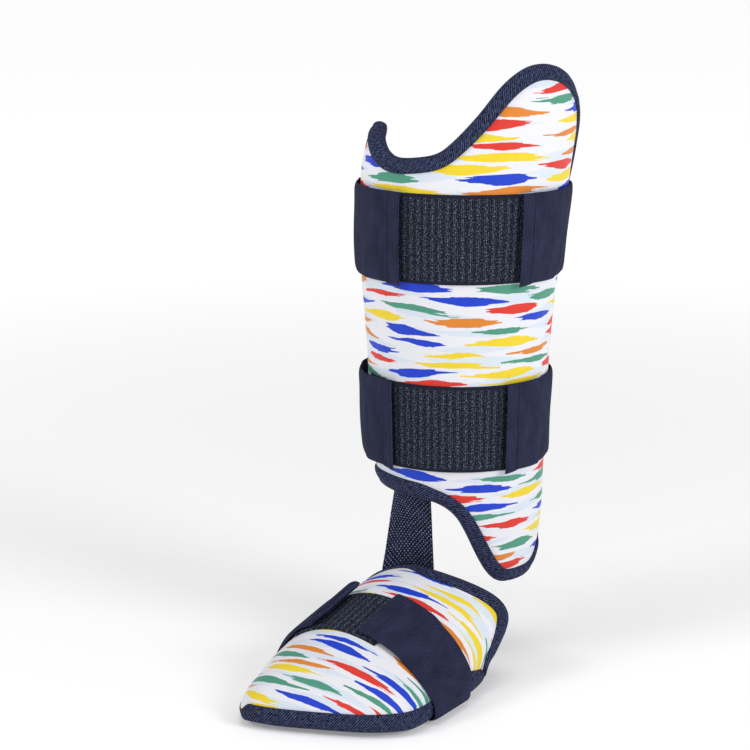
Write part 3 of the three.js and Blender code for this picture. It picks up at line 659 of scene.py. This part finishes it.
rim_share = (shin.rim[:, 2] - SHIN_CLEARANCE) / SHIN_LENGTH
under_strap = sum(ease(0.11, 0.08, np.abs(rim_share - share)) for share in STRAP_HEIGHTS)
rim_angle = shin.edge[:, 0]
along_low = ease(0.24, 0.2, rim_share) * ease(24, 8, rim_angle) * ease(-62, -50, rim_angle)
lower_part = ease(0.64, 0.58, rim_share)
inner_low = ease(-54, -62, rim_angle) * lower_part
inner_side = np.maximum(ease(-71, -73, rim_angle), 0.75 * inner_low)
outer_side = ease(118, 126, rim_angle)
wing_side = outer_side * ease(0.78, 0.84, rim_share)
outer_low = outer_side * lower_part * ease(0.015, 0.06, rim_share)
shin_leg = TAPE_LEG + 3 * along_low - 4 * inner_side + 5 * wing_side - 3.5 * outer_low
shin_press = (1 - 0.45 * under_strap) * (1 - 0.6 * (outer_low + inner_low))
shin_tape = sewn_piece("shin_tape", tape_parts(shin, shin_leg, shin_press), [twill])
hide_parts("shin_binding")

# Foot guard. The same foam and cloth, moulded over the instep from the toes to the ankle. It rests on its rim, and
# the outer side of its rear edge runs further back, round the outside of the foot.
FOOT_LENGTH = 179.5
FOOT_INNER = 62
FOOT_OUTER = 85
FOOT_HEIGHT = 76
FOOT_PAD = 8
FOOT_FORWARD = 60
FOOT_CROWN_SIDE = 8
FOOT_EDGE_HEIGHT = 3
HEEL_SWELL = 31
TIP_ROW = 0.012
REAR_ROW = 0.994

# row from the toe; how far behind the toe the crown, the inner edge and the outer edge lie; shift of the crown;
# inner and outer width
FOOT_FORM = np.array(
    [
        (0, 0, 0, 0, -0.37, 0.37, -0.27),
        (0.08, 0.008, 0.034, 0.038, -0.32, 0.54, 0.02),
        (0.16, 0.036, 0.1, 0.115, -0.24, 0.68, 0.36),
        (0.25, 0.098, 0.175, 0.2, -0.16, 0.77, 0.69),
        (0.35, 0.2, 0.26, 0.28, -0.1, 0.84, 0.88),
        (0.45, 0.306, 0.345, 0.37, -0.04, 0.915, 0.985),
        (0.6, 0.497, 0.52, 0.525, 0, 1, 0.985),
        (0.8, 0.777, 0.755, 0.75, 0, 1, 0.965),
        (1, 1, 0.9, 0.905, 0, 0.93, 0.93),
    ]
)
# row; height, fullness of the inner and the outer side, padding, tuck of the outer side
FOOT_ARCH = np.array(
    [
        (0, 0.04, 1, 1, 0.6, 0),
        (0.08, 0.105, 1, 1, 0.6, 0),
        (0.16, 0.195, 1, 1, 0.65, 0),
        (0.25, 0.315, 1, 1, 0.75, 0),
        (0.35, 0.43, 1, 1.05, 0.9, 0),
        (0.45, 0.538, 0.95, 1.1, 1, 0),
        (0.6, 0.675, 0.85, 1.1, 1, 0.02),
        (0.8, 0.875, 0.75, 0.8, 1, 0.045),
        (1, 1, 0.6, 0.48, 1, 0.04),
    ]
)
foot_crown, inner_edge, outer_edge, crown_shift, inner_width, outer_width = (
    through(FOOT_FORM, column) for column in range(1, 7)
)
arch_height, inner_full, outer_full, arch_pad, arch_tuck = (through(FOOT_ARCH, column) for column in range(1, 6))


def foot_place(side, row):
    """An arch for each row from the toe, from the inner edge at side 0 to the outer edge at side 1. It goes across
    as minus the cosine of side and up as a power of its sine. Toward the edges it falls back from the crown's place
    to the edge's, and the outer side swells back and tucks under."""
    across = -np.cos(np.pi * side)
    up = np.maximum(0, np.sin(np.pi * side))
    outside = across > 0
    shift = FOOT_INNER * crown_shift(row)
    width = np.where(outside, FOOT_OUTER * outer_width(row) - shift, FOOT_INNER * inner_width(row) + shift)
    edge = np.where(outside, outer_edge(row), inner_edge(row))
    behind = foot_crown(row) + (edge - foot_crown(row)) * np.abs(across) ** 1.8
    swell = np.where(outside, HEEL_SWELL * row**4 * np.sin(np.pi * up**0.75) * ease(0, 0.06, up), 0)
    tuck = np.where(outside, FOOT_OUTER * arch_tuck(row) * (1 - ease(0, 0.4, up)), 0)
    full = np.where(outside, outer_full(row), inner_full(row))
    level = FOOT_EDGE_HEIGHT + (FOOT_HEIGHT * arch_height(row) - FOOT_EDGE_HEIGHT) * up**full
    back = FOOT_LENGTH * (behind - 1) - FOOT_FORWARD + swell
    return np.stack([FOOT_CROWN_SIDE + shift + width * across - tuck, back, level], -1)


sides, rows = crowd(0, 1, 900), np.linspace(TIP_ROW, 1, 900)
foot_rim = np.concatenate(
    [
        np.stack([sides, np.full(900, TIP_ROW)], -1),
        np.stack([np.ones(900), rows], -1),
        np.stack([sides[::-1], np.ones(900)], -1),
        np.stack([np.zeros(900), rows[::-1]], -1),
    ]
)
foot = Shell(
    foot_place,
    foot_rim,
    lambda a, b: FOOT_PAD * arch_pad(b),
    roll=2,
    steps=(0.0004, 0.0004),
    least=0.01,
    centre=(0.5, 0.6),
    hold=((0.002, 0.998), (0.01, 1)),
)

rows = crowd(TIP_ROW, REAR_ROW, 130)[:, None]
sides = crowd(0, 1, 170)[None]
arches = foot_place(sides, rows)
middle = arches.shape[1] // 2
run_over = run_of(arches, 1)
run_back = run_of(arches, 0)[:, middle : middle + 1]
foot_pattern = np.stack([run_over - run_over[:, middle : middle + 1], run_back + 0 * run_over], -1)
sides, rows = sides + 0 * rows, rows + 0 * sides
foot_cover = sewn_piece("foot_cover", shell_parts(foot, sides, rows, foot_pattern), [print_cloth, lining])
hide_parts("foot_shell")

# Edge tape of the foot guard. The same twill tape goes round the whole rim. Along the inner side most of it is
# turned under and only a third of its width shows. It is widest on the outer side, behind the strap.
FOOT_TAPE_LEG = 11
FOOT_TAPE_WIDER = 7
STRAP_ROW = 0.686

rim_side, rim_row = foot.edge.T
foot_leg = FOOT_TAPE_LEG * np.maximum(0.32 + 0.68 * ease(0.15, 0.45, rim_side), 1 - 0.68 * ease(0, 0.045, rim_row))
foot_leg = foot_leg * (1 - 0.7 * ease(0.98, 1, rim_row) * ease(0.12, 0.2, rim_side) * ease(0.58, 0.42, rim_side))
foot_leg = foot_leg + FOOT_TAPE_WIDER * ease(0.9, 0.97, rim_side) * ease(0.6, 0.7, rim_row) * ease(1, 0.8, rim_row)
under_strap = ease(0.16, 0.12, np.abs(rim_row - STRAP_ROW))
toe_inner = ease(0.04, 0.01, rim_side) * ease(0.02, 0.06, rim_row) * ease(0.6, 0.5, rim_row)
foot_press = (1 - 0.4 * under_strap) * (1 - 0.6 * toe_inner)
foot_tape = sewn_piece("foot_tape", tape_parts(foot, foot_leg, foot_press), [twill])
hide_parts("foot_binding")

# Shin straps. Two broad elastic straps go round the calf. Each end is turned under and sewn down on a hook pad,
# and the long edges curl toward the leg.
STRAP_WIDTH = 69
STRAP_THICK = 1.9
STRAP_CURL = 7
STITCH_LINE = 11.5
STITCH_DEEP = 0.8
STITCH_WIDE = 0.9
TURNED_UNDER = 0.6
GAP = 0.3
PANEL_TOP = 1.6
UNDER_STRAP = 3
ON_TAPE = 1.4
END_LIFT = 2.5
END_HANG = 1.1
PAST_HOOKS = 3.5
HOOK_LENGTH = 26
CALF_DIP = 9
SLACK_SPAN = 110
# name, height as a share, angles of the inner and the outer hook pad's end, slack
SHIN_STRAPS = (("upper", STRAP_HEIGHTS[0], 0, 72.5, 1.6), ("lower", STRAP_HEIGHTS[1], -8.5, 69, 4.8))

elastic = Finish("strap_elastic", 0.8, 0.1)
along, across = elastic.pattern()
rib = (along * (2 * np.pi / 1.5) + elastic.cloud(along / 8, across / 2) * 1.4).math("SINE")
grain = elastic.cloud(along * 1.3, across * 2.2, 2.0, 3.0)
shade = elastic.ease(rib * 0.3 + grain * 2.9 + elastic.cloud(along / 14, across / 22) * 0.9, -0.8, 0.8)
elastic.feed("Base Color", elastic.blend(shade, linear(11, 13, 28), linear(60, 64, 96)))
elastic.relief(rib * 0.5 + grain, 0.0004)

thread = Finish("navy_thread", 0.6, 0.15)
along, across = thread.pattern()
twist = ((along + across) * 9).math("SINE")
thread.feed("Base Color", thread.blend(twist * 0.5 + 0.5, linear(12, 13, 28), linear(40, 43, 68)))


def bow(distance, width):
    """0 at an edge and 1 from a width in, on a parabola: one less the square of the share that is left to go."""
    return 1 - (1 - np.clip(distance / width, 0, 1)) ** 2


def laid_flat(along, across):
    """The place of each point of a grid in the cloth's pattern: how far along and how far across it lies."""
    return np.stack(np.broadcast_arrays(along[:, None], across[None]), -1)


def belt_parts(base, square, along, across, thick, nose=1.1):
    """The two faces of a belt: its base, and the same raised by its thickness along its squares. It thins to
    nothing at its ends as a quarter circle does, and at its long edges as the root of one less a high power."""
    far = across[-1]
    edge = np.sqrt(np.maximum(0, 1 - np.abs(across / far) ** 16))[None]
    end = np.minimum(along, along[-1] - along)[:, None]
    rise = (edge * np.sqrt(bow(end, nose)) * thick)[..., None]
    middle = base + square * np.broadcast_to(thick, rise.shape[:2])[..., None] / 2
    pattern = laid_flat(along, across)
    return [(middle + square * rise / 2, pattern, 0), (middle - square * rise / 2, pattern, 0)]


def seam_parts(base, square, along, across, at, thick, mark):
    """A row of stitches across a belt, a little proud of it. Each is a tube whose radius is the fourth root of one
    less the fourth power of the way from its middle."""
    pitch, long, wide = 3.2, 2.4, 0.34
    starts = np.arange(across[0] + 2.5, across[-1] - 2.5 - long, pitch)
    way = np.linspace(-1, 1, 7)
    turns = np.linspace(0, 2 * np.pi, 7)
    radius = wide * (1 - way**4)[None, :, None] ** 0.25
    row = int(np.searchsorted(along, at))
    parts = []
    for start in starts:
        u = start + long * (way + 1) / 2
        place = np.stack([np.interp(u, across, base[row, :, k]) for k in range(3)], -1)[:, None]
        up = unit(np.stack([np.interp(u, across, square[row, :, k]) for k in range(3)], -1))[:, None]
        run = unit(base[row + 1] - base[row - 1])
        run = np.stack([np.interp(u, across, run[:, k]) for k in range(3)], -1)[:, None]
        tube = place + up * (thick + radius[0][..., None] * np.sin(turns)[None, :, None])
        tube = tube + run * radius[0][..., None] * np.cos(turns)[None, :, None]
        parts.append((tube, laid_flat(u, turns * wide), mark))
    return parts


def doubled(along):
    """Thickness of a strap: one layer, thicker where its end is turned under, and drawn in at the stitches."""
    past = np.minimum(along, along[-1] - along)[:, None] - STITCH_LINE
    drawn_in = STITCH_DEEP * np.exp(-((past / STITCH_WIDE) ** 2))
    return STRAP_THICK + TURNED_UNDER * (1 - ease(1.2, 2.8, past)) - drawn_in


def on_shin(angle, level, over):
    """The place a height over the shin guard's surface, at an angle and a level."""
    share = (level - SHIN_CLEARANCE) / SHIN_LENGTH
    return shin_place(angle, share) + shin.normal(angle, share) * np.asarray(over)[..., None]


def strap_over(angle, level, panel_from, panel_to):
    """How high the strap's long edge lies: over the loop panel, the tape at the shell's sides, or the cloth."""
    turned = np.where(angle > BACK_MIDDLE, angle - 360, angle)
    past = np.maximum(turned - panel_to, panel_from - turned)
    panel = (PANEL_TOP + GAP) * (1 - ease(1, 8, past))
    on_shell = (turned < OUTER_REACH) & (turned > -INNER_REACH)
    inside = np.where(on_shell, shin.inside(shin_place(angle, (level - SHIN_CLEARANCE) / SHIN_LENGTH)), 0)
    tape = ON_TAPE * (1 - ease(TAPE_LEG + 1, TAPE_LEG + 8, inside))
    return np.maximum(np.maximum(GAP, panel), tape)


across = np.sin(np.linspace(-np.pi / 2, np.pi / 2, 45)) * STRAP_WIDTH / 2
curl = bow(STRAP_WIDTH / 2 - np.abs(across), STRAP_CURL)
tuck, pad = (np.degrees(length / SHIN_RADIUS) for length in (HOOK_LENGTH + 8, HOOK_LENGTH))

for name, share, inner_end, outer_end, slack in SHIN_STRAPS:
    level = SHIN_CLEARANCE + SHIN_LENGTH * share + across[None]
    angle = crowd(outer_end - PAST_HOOKS, 360 + inner_end + PAST_HOOKS, 250)[:, None] + 0 * level
    free = np.clip((angle - OUTER_REACH) / (360 - INNER_REACH - OUTER_REACH), 0, 1)
    dip = CALF_DIP * np.sin(np.pi * free) ** 2
    from_end = PAST_HOOKS + np.minimum(angle - outer_end, inner_end + 360 - angle)
    level = level - END_HANG * (1 - ease(8, 12, from_end)) * ease(8, 34, -across)
    snug = ease(0, 12, from_end - pad - PAST_HOOKS)
    lift = END_LIFT * (1 - ease(0, 9, from_end))
    loose = slack * np.sin(np.pi * np.clip((inner_end + 360 - angle) / SLACK_SPAN, 0, 1))
    edge = strap_over(angle, level, inner_end - tuck, outer_end + tuck)
    middle = UNDER_STRAP + (np.maximum(edge, 0.9) + 0.4 - UNDER_STRAP) * snug
    wave = 0.25 * np.sin(np.radians(angle) * 11 + across[None] / 9) * ease(0, 10, from_end)
    over = edge + (middle - edge) * curl + loose - dip + wave + lift
    base = on_shin(angle, level, over)
    square = shin.normal(angle, (level - SHIN_CLEARANCE) / SHIN_LENGTH)
    along = run_of(base, 0)[:, len(across) // 2]
    thick = doubled(along)
    parts = belt_parts(base, square, along, across, thick)
    for at in (STITCH_LINE, along[-1] - STITCH_LINE):
        parts += seam_parts(base, square, along, across, at, STRAP_THICK - 0.05, 1)
    strap = sewn_piece(name + "_band", parts, [elastic, thread])
    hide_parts(name + "_strap")

# Loop panels of the shin. A strip of loop pile is sewn on under each strap's ends, and shows between them. Its
# pile stands in upright rows between smooth woven edges.
PANEL_INSET = 0.8
PANEL_ROUND = 0.9
PILE_PITCH = 5.6
MEASURED_COLUMN = 40
PANEL_WIDTH = STRAP_WIDTH - 2 * PANEL_INSET

pile = Finish("loop_pile", 0.95)
along, across = pile.pattern()
wander = pile.cloud(along / 4, across / 4) * 0.8
row = ((along + wander) * (2 * np.pi / PILE_PITCH)).math("SINE") * 0.5 + 0.5
fine = ((along + wander) * (2 * np.pi / 1.4)).math("SINE")
speck = pile.cloud(along * 0.85, across * 0.75, 3.0, 2.0) * 3.4 + pile.cloud(along * 2.1, across * 1.6, 1.0, 7.0) * 2
light = pile.ease(speck + fine * 0.2 + row * 0.34, 0.1, 1.35)
selvedge = pile.ease(abs(across), PANEL_WIDTH / 2 - 3.2, PANEL_WIDTH / 2 - 2.2)
dark = pile.blend(selvedge, linear(12, 17, 30), linear(30, 33, 54))
pile.feed("Base Color", pile.blend(light * (1 - selvedge), dark, linear(132, 146, 178)))
pile.relief(speck * 0.5 + fine * 0.3, 0.0009)


def panel_parts(low, high, along, across, seed):
    """A loop panel between its back and its face. The face is thrown up and down a little at random as pile is,
    but not along its woven edges, and it falls to the back round its border."""
    chance = np.random.default_rng(seed)
    square = unit(high - low)
    deep = np.linalg.norm(high - low, axis=-1)
    in_side = (across[-1] - np.abs(across))[None]
    in_end = np.minimum(along, along[-1] - along)[:, None]
    edge = np.sqrt(bow(np.minimum(in_side, in_end), PANEL_ROUND))
    pile_high = ease(2.2, 3.4, in_side) * (0.16 + 0.12 * np.sin(along[:, None] * 2 * np.pi / PILE_PITCH))
    rough = chance.uniform(-0.14, 0.22, deep.shape) * ease(2.0, 3.0, in_side) * ease(0.5, 1.5, in_end)
    top = low + square * ((deep + pile_high + rough) * edge)[..., None]
    pattern = laid_flat(along, across)
    return [(top, pattern, 0), (low, pattern, 0)]


border = np.array([0, 0.2, 0.5, PANEL_ROUND])
panel_across = np.linspace(-PANEL_WIDTH / 2 + 1.6, PANEL_WIDTH / 2 - 1.6, 84)
panel_across = np.concatenate([border - PANEL_WIDTH / 2, panel_across, PANEL_WIDTH / 2 - border[::-1]])
for seed, (name, share, inner_end, outer_end, _) in enumerate(SHIN_STRAPS):
    level = SHIN_CLEARANCE + SHIN_LENGTH * share + panel_across[None]
    border_turn = np.degrees(border / SHIN_RADIUS)
    start, end = inner_end - tuck, outer_end + tuck
    angle = np.concatenate([start + border_turn, np.linspace(start + 1.2, end - 1.2, 200), end - border_turn[::-1]])
    angle = angle[:, None] + 0 * level
    low, high = (on_shin(angle, level, over) for over in (GAP, PANEL_TOP))
    along = run_of(low, 0)[:, MEASURED_COLUMN]
    panel = sewn_piece(name + "_pile", panel_parts(low, high, along, panel_across, seed), [pile])
    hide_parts(name + "_loop_panel")

# Foot strap and its loop panel. A narrower elastic strap runs under the sole, turns up round both edges of the foot
# guard and closes on a loop panel over the instep. Its inner end is rolled thick and stands off a little as a lip.
FOOT_STRAP_WIDTH = 50
FOOT_STRAP_PLACE = 0.622
FOOT_INNER_END = 0.395
FOOT_OUTER_END = 0.552
FOOT_TUCK = 0.14
FOOT_PANEL_UNDER = 0.07
FOOT_SKEW = 6
FOOT_PANEL_AHEAD = 3.5
FOOT_ON_TAPE = 1.8
SOLE_ROUND = 4.5
SOLE_CENTRE = 4
LIP = 2.2
LIP_THICK = 4

strap_forward = FOOT_LENGTH * (FOOT_STRAP_PLACE - 1) - FOOT_FORWARD


def where(measure, wanted, low, high):
    """The place between low and high where a rising measure reaches the wanted value, by halving 40 times."""
    low, high = low + 0 * wanted, high + 0 * wanted
    for _ in range(40):
        middle = (low + high) / 2
        short = measure(middle) < wanted
        low, high = np.where(short, middle, low), np.where(short, high, middle)
    return (low + high) / 2


def on_foot(side, forward, over):
    """The place a height over the foot guard, at a side and as far forward as asked, less a skew that fades toward
    the outer side."""
    side = side + 0 * forward
    forward = forward - FOOT_SKEW * (1 - ease(0.1, 0.5, side))
    row = where(lambda r: foot_place(side, r)[..., 1], forward, 0.05, 1.0)
    return foot_place(side, row) + foot.normal(side, row) * np.asarray(over)[..., None]


def over_foot(side, forward, curl, raised):
    """The strap's line across one side: its long edges lie on the panel, the tape or the cloth, and its middle
    stands over them by its curl."""
    to_edge = min(side, 1 - side)
    past = max(side - FOOT_OUTER_END, FOOT_INNER_END - side) - FOOT_TUCK
    panel = (PANEL_TOP + 2 * GAP) * (1 - ease(0.01, 0.05, past))
    tape = FOOT_ON_TAPE * (1 - ease(0.1, 0.14, to_edge))
    edge = max(GAP, panel, tape)
    return on_foot(side, forward, edge + (UNDER_STRAP - edge) * curl + raised)


def round_edge(side, turn, forward, curl, raised):
    """The strap's line as it turns under the foot guard's edge on a quarter ellipse, out by the cosine of the turn
    and down by its sine."""
    outward = 1 if side > 0.5 else -1
    wide = SOLE_ROUND + FOOT_ON_TAPE + (UNDER_STRAP - FOOT_ON_TAPE) * curl + raised
    edge = on_foot(side, forward, 0)[..., 0]
    turn = np.radians(turn)
    return np.stack(
        [
            edge + outward * (wide * np.cos(turn) - SOLE_ROUND),
            forward - FOOT_SKEW * (1 - side),
            SOLE_CENTRE - (SOLE_CENTRE + GAP + raised) * np.sin(turn) + 0 * forward,
        ],
        -1,
    )


def run_past(stations):
    """How far along each station lies, by the mean distance between the points of one station and the next."""
    steps = np.linalg.norm(np.diff(stations, axis=0), axis=-1).mean(1)
    return np.concatenate([[0], np.cumsum(steps)])


def glide(stations, run, at):
    """The rows of points at some places along a run through stations. Between two stations each point goes on the
    cubic that has, at each, the slope between its neighbours."""
    table = np.column_stack([run, stations.reshape(len(run), -1)])
    curves = [through(table, column)(at) for column in range(1, table.shape[1])]
    return np.stack(curves, -1).reshape((len(at),) + stations.shape[1:])


across = np.sin(np.linspace(-np.pi / 2, np.pi / 2, 35)) * FOOT_STRAP_WIDTH / 2
curl = bow(FOOT_STRAP_WIDTH / 2 - np.abs(across), STRAP_CURL)
forward = strap_forward + across
layers = []
for raised in (0.0, 1.0):
    stations = [over_foot(side, forward, curl, raised) for side in np.linspace(FOOT_OUTER_END, 0.95, 12)]
    stations += [round_edge(1, turn, forward, curl, raised) for turn in (10, 35, 60, 90)]
    stations += [round_edge(0, turn, forward, curl, raised) for turn in (90, 60, 35, 10)]
    stations += [over_foot(side, forward, curl, raised) for side in np.linspace(0.05, FOOT_INNER_END, 9)]
    stations = np.stack(stations)
    run = run_past(stations)
    layers.append(glide(stations, run, crowd(0, run[-1], 260)))
base, square = layers[0], unit(layers[1] - layers[0])
along = run_of(base, 0)[:, len(across) // 2]
to_lip = (along[-1] - along)[:, None]
corner = np.exp(-(((across[None] + FOOT_STRAP_WIDTH / 2) / 9) ** 2))
lip = LIP * (1 - ease(0, 14, to_lip)) * (1 + 0.5 * corner) - 1.1 * np.exp(-(((to_lip - 9) / 3.5) ** 2)) * corner
base = base + square * lip[..., None]
rolled = LIP_THICK * (1 - ease(4, 11, to_lip)) * (1 - 0.35 * np.exp(-(((across[None] + 12) / 4) ** 2)))
parts = belt_parts(base, square, along, across, doubled(along) + rolled, nose=2.6)
parts += seam_parts(base, square, along, across, STITCH_LINE, STRAP_THICK - 0.05, 1)
foot_band = sewn_piece("foot_band", parts, [elastic, thread])
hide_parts("foot_strap")

narrower = (FOOT_STRAP_WIDTH - 2 * PANEL_INSET) / PANEL_WIDTH
across = panel_across * narrower
forward = strap_forward - FOOT_PANEL_AHEAD + across[None]
start, end = FOOT_INNER_END - FOOT_TUCK, FOOT_OUTER_END + FOOT_PANEL_UNDER
side = np.concatenate([start + border / 240, np.linspace(start + 0.007, end - 0.007, 130), end - border[::-1] / 240])
side = side[:, None] + 0 * forward
forward = forward + 0 * side
low, high = (on_foot(side, forward, over) for over in (GAP, PANEL_TOP))
along = run_of(low, 0)[:, MEASURED_COLUMN]
foot_pile = sewn_piece("foot_pile", panel_parts(low, high, along, across, 5), [pile])
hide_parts("foot_loop_panel")

# Ankle webbing. A band of coarse plain-woven webbing joins the two guards. It comes out from behind the shin guard,
# runs down behind the rear rim of the foot guard and is sewn under it.
WEBBING_WIDTH = 48
WEBBING_THICK = 2
WEBBING_TURN = -9
WEBBING_SIDE = -15
RIM_ROOM = 1.2
INSIDE_BINDING = 2.6
CELLS_ACROSS = 27
CELL_ACROSS = 1.78
CELL_ALONG = 1.95
POINTS_PER_CELL = 5
EDGE_ROUND = 0.9
WEAVE_HIGH = 0.55

webbing_radius = SHIN_RADIUS * shin_radius(0.178) - SHIN_PAD


def behind_shin(inside, across, over):
    """Behind the shin guard, some way up from its low edge and under its inner face."""
    angle = WEBBING_TURN + np.degrees(across / webbing_radius)
    return shin.inner(angle, shin_bottom(angle) + inside / SHIN_LENGTH, over)


def side_at(across, row):
    """The side at which a row of the foot guard is as far across as asked."""
    return where(lambda s: foot_place(s, row)[..., 0], FOOT_CROWN_SIDE + WEBBING_SIDE + across, 0.1, 0.9)


def under_foot(inside, across, over):
    """Under the foot guard, some way forward from its rear edge."""
    row = 1 - inside / FOOT_LENGTH + 0 * across
    return foot.inner(side_at(across, row), row, over + RIM_ROOM)


def round_rim(depth, out, across, over):
    """Behind the foot guard's rear rim, at a share of the depth from its outer face to its inner one."""
    side = side_at(across, 1.0)
    row = np.ones_like(side)
    into = unit(foot_place(side, row - 0.001) - foot_place(side, row))
    outer, inner = foot.outer(side, row), foot.inner(side, row, depth * over)
    return outer + (inner - outer) * depth - into * (over + out + RIM_ROOM)


across = np.linspace(-WEBBING_WIDTH / 2 + 0.4, WEBBING_WIDTH / 2 - 0.4, CELLS_ACROSS * POINTS_PER_CELL + 1)
rounding = np.array([0, 0.06, 0.2])
across = np.concatenate([rounding - WEBBING_WIDTH / 2, across, WEBBING_WIDTH / 2 - rounding[::-1]])
layers = []
for over in (INSIDE_BINDING, INSIDE_BINDING + WEBBING_THICK):
    top, bottom = behind_shin(-2, across, over), round_rim(0.5, 1.5, across, over)
    stations = [behind_shin(22, across, over), behind_shin(4.25, across, over), top]
    stations += [top + (bottom - top) * share for share in (0.35, 0.7)]
    stations += [bottom, round_rim(1, 0, across, over), under_foot(5.5, across, over), under_foot(22, across, over)]
    layers.append(np.stack(stations))
run = run_past(layers[0])
cells_along = int(run[-1] / CELL_ALONG)
along = np.linspace(0, run[-1], cells_along * POINTS_PER_CELL + 1)
low, high = (glide(layer, run, along) for layer in layers)
square = unit(high - low)


def weave(u, v):
    """Height of a plain weave: in every other cell the thread along the band lies on top, crowned across it by a
    sine and along it by a flatter one, and in the rest the thread across it does."""
    warp = (np.floor(u) + np.floor(v)) % 2 < 0.5
    over_u, over_v = np.abs(np.sin(np.pi * u)), np.abs(np.sin(np.pi * v))
    return np.where(warp, over_u**0.8 * (0.45 + 0.55 * over_v), over_v**0.8 * (0.35 + 0.5 * over_u))


u = (across[None] + WEBBING_WIDTH / 2) / CELL_ACROSS + 1e-6
v = along[:, None] / along[-1] * cells_along + 1e-6
edge = np.sqrt(bow(WEBBING_WIDTH / 2 - np.abs(across), EDGE_ROUND))[None]
end = np.sqrt(bow(np.minimum(along, along[-1] - along), 1))[:, None]
half, back = ((WEBBING_THICK / 2 + WEAVE_HIGH * (weave(u + side, v) - 0.5)) * edge * end for side in (0, 1))
middle = (low + high) / 2
pattern = np.stack(np.broadcast_arrays(u, v), -1)

woven = Finish("woven_webbing", 0.7, 0.15)
across, along = woven.pattern()
fray = woven.cloud(across * 2.2, along * 2.2, 2.0)
crown = abs((across * np.pi).math("SINE")) * abs((along * np.pi).math("SINE"))
column, row = across.math("FLOOR"), along.math("FLOOR")
random = woven.dice(column, row, 4.0)
across_on_top = (column + row).math("MODULO", 2.0)
# Painted highlight: the crown of each thread is painted lighter, most where the thread across lies on top, mixed with
# fray and random tone of the threads.
crown_highlight_and_fray = woven.ease(crown * (across_on_top * 0.8 + 0.4) + fray * 0.8 + random[0] * 0.35, 0.36, 1.4)
woven.feed("Base Color", woven.blend(crown_highlight_and_fray, linear(5, 7, 18), linear(126, 136, 184)))
woven.relief(fray, 0.0003)

webbing = sewn_piece(
    "ankle_band",
    [(middle + square * half[..., None], pattern, 0), (middle - square * back[..., None], pattern, 0)],
    [woven],
)
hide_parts("ankle_webbing")

# Hook pads. A strip of dark moulded nylon is sewn under each strap end. Its small hooks stand close together in rows
# and point down, into the loop panel.
hooks = Finish("hook_nylon", 0.55)
place = hooks.node("ShaderNodeTexCoord")
dots = hooks.node(
    "ShaderNodeTexVoronoi", values={"Vector": Wire(hooks, place.outputs["Object"]), "Scale": 700.0, "Randomness": 0.4}
)
dot = Wire(hooks, dots.outputs["Distance"])
hooks.feed("Base Color", hooks.blend(hooks.ease(dot, 0.1, 0.6), linear(58, 62, 84), linear(16, 18, 30)))
hooks.relief(1 - dot, 0.0006)
for name in ("upper", "lower", "foot"):
    for end in ("inner", "outer"):
        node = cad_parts[f"{name}_hook_{end}"]
        for slot in node.material_slots:
            slot.material = hooks.material
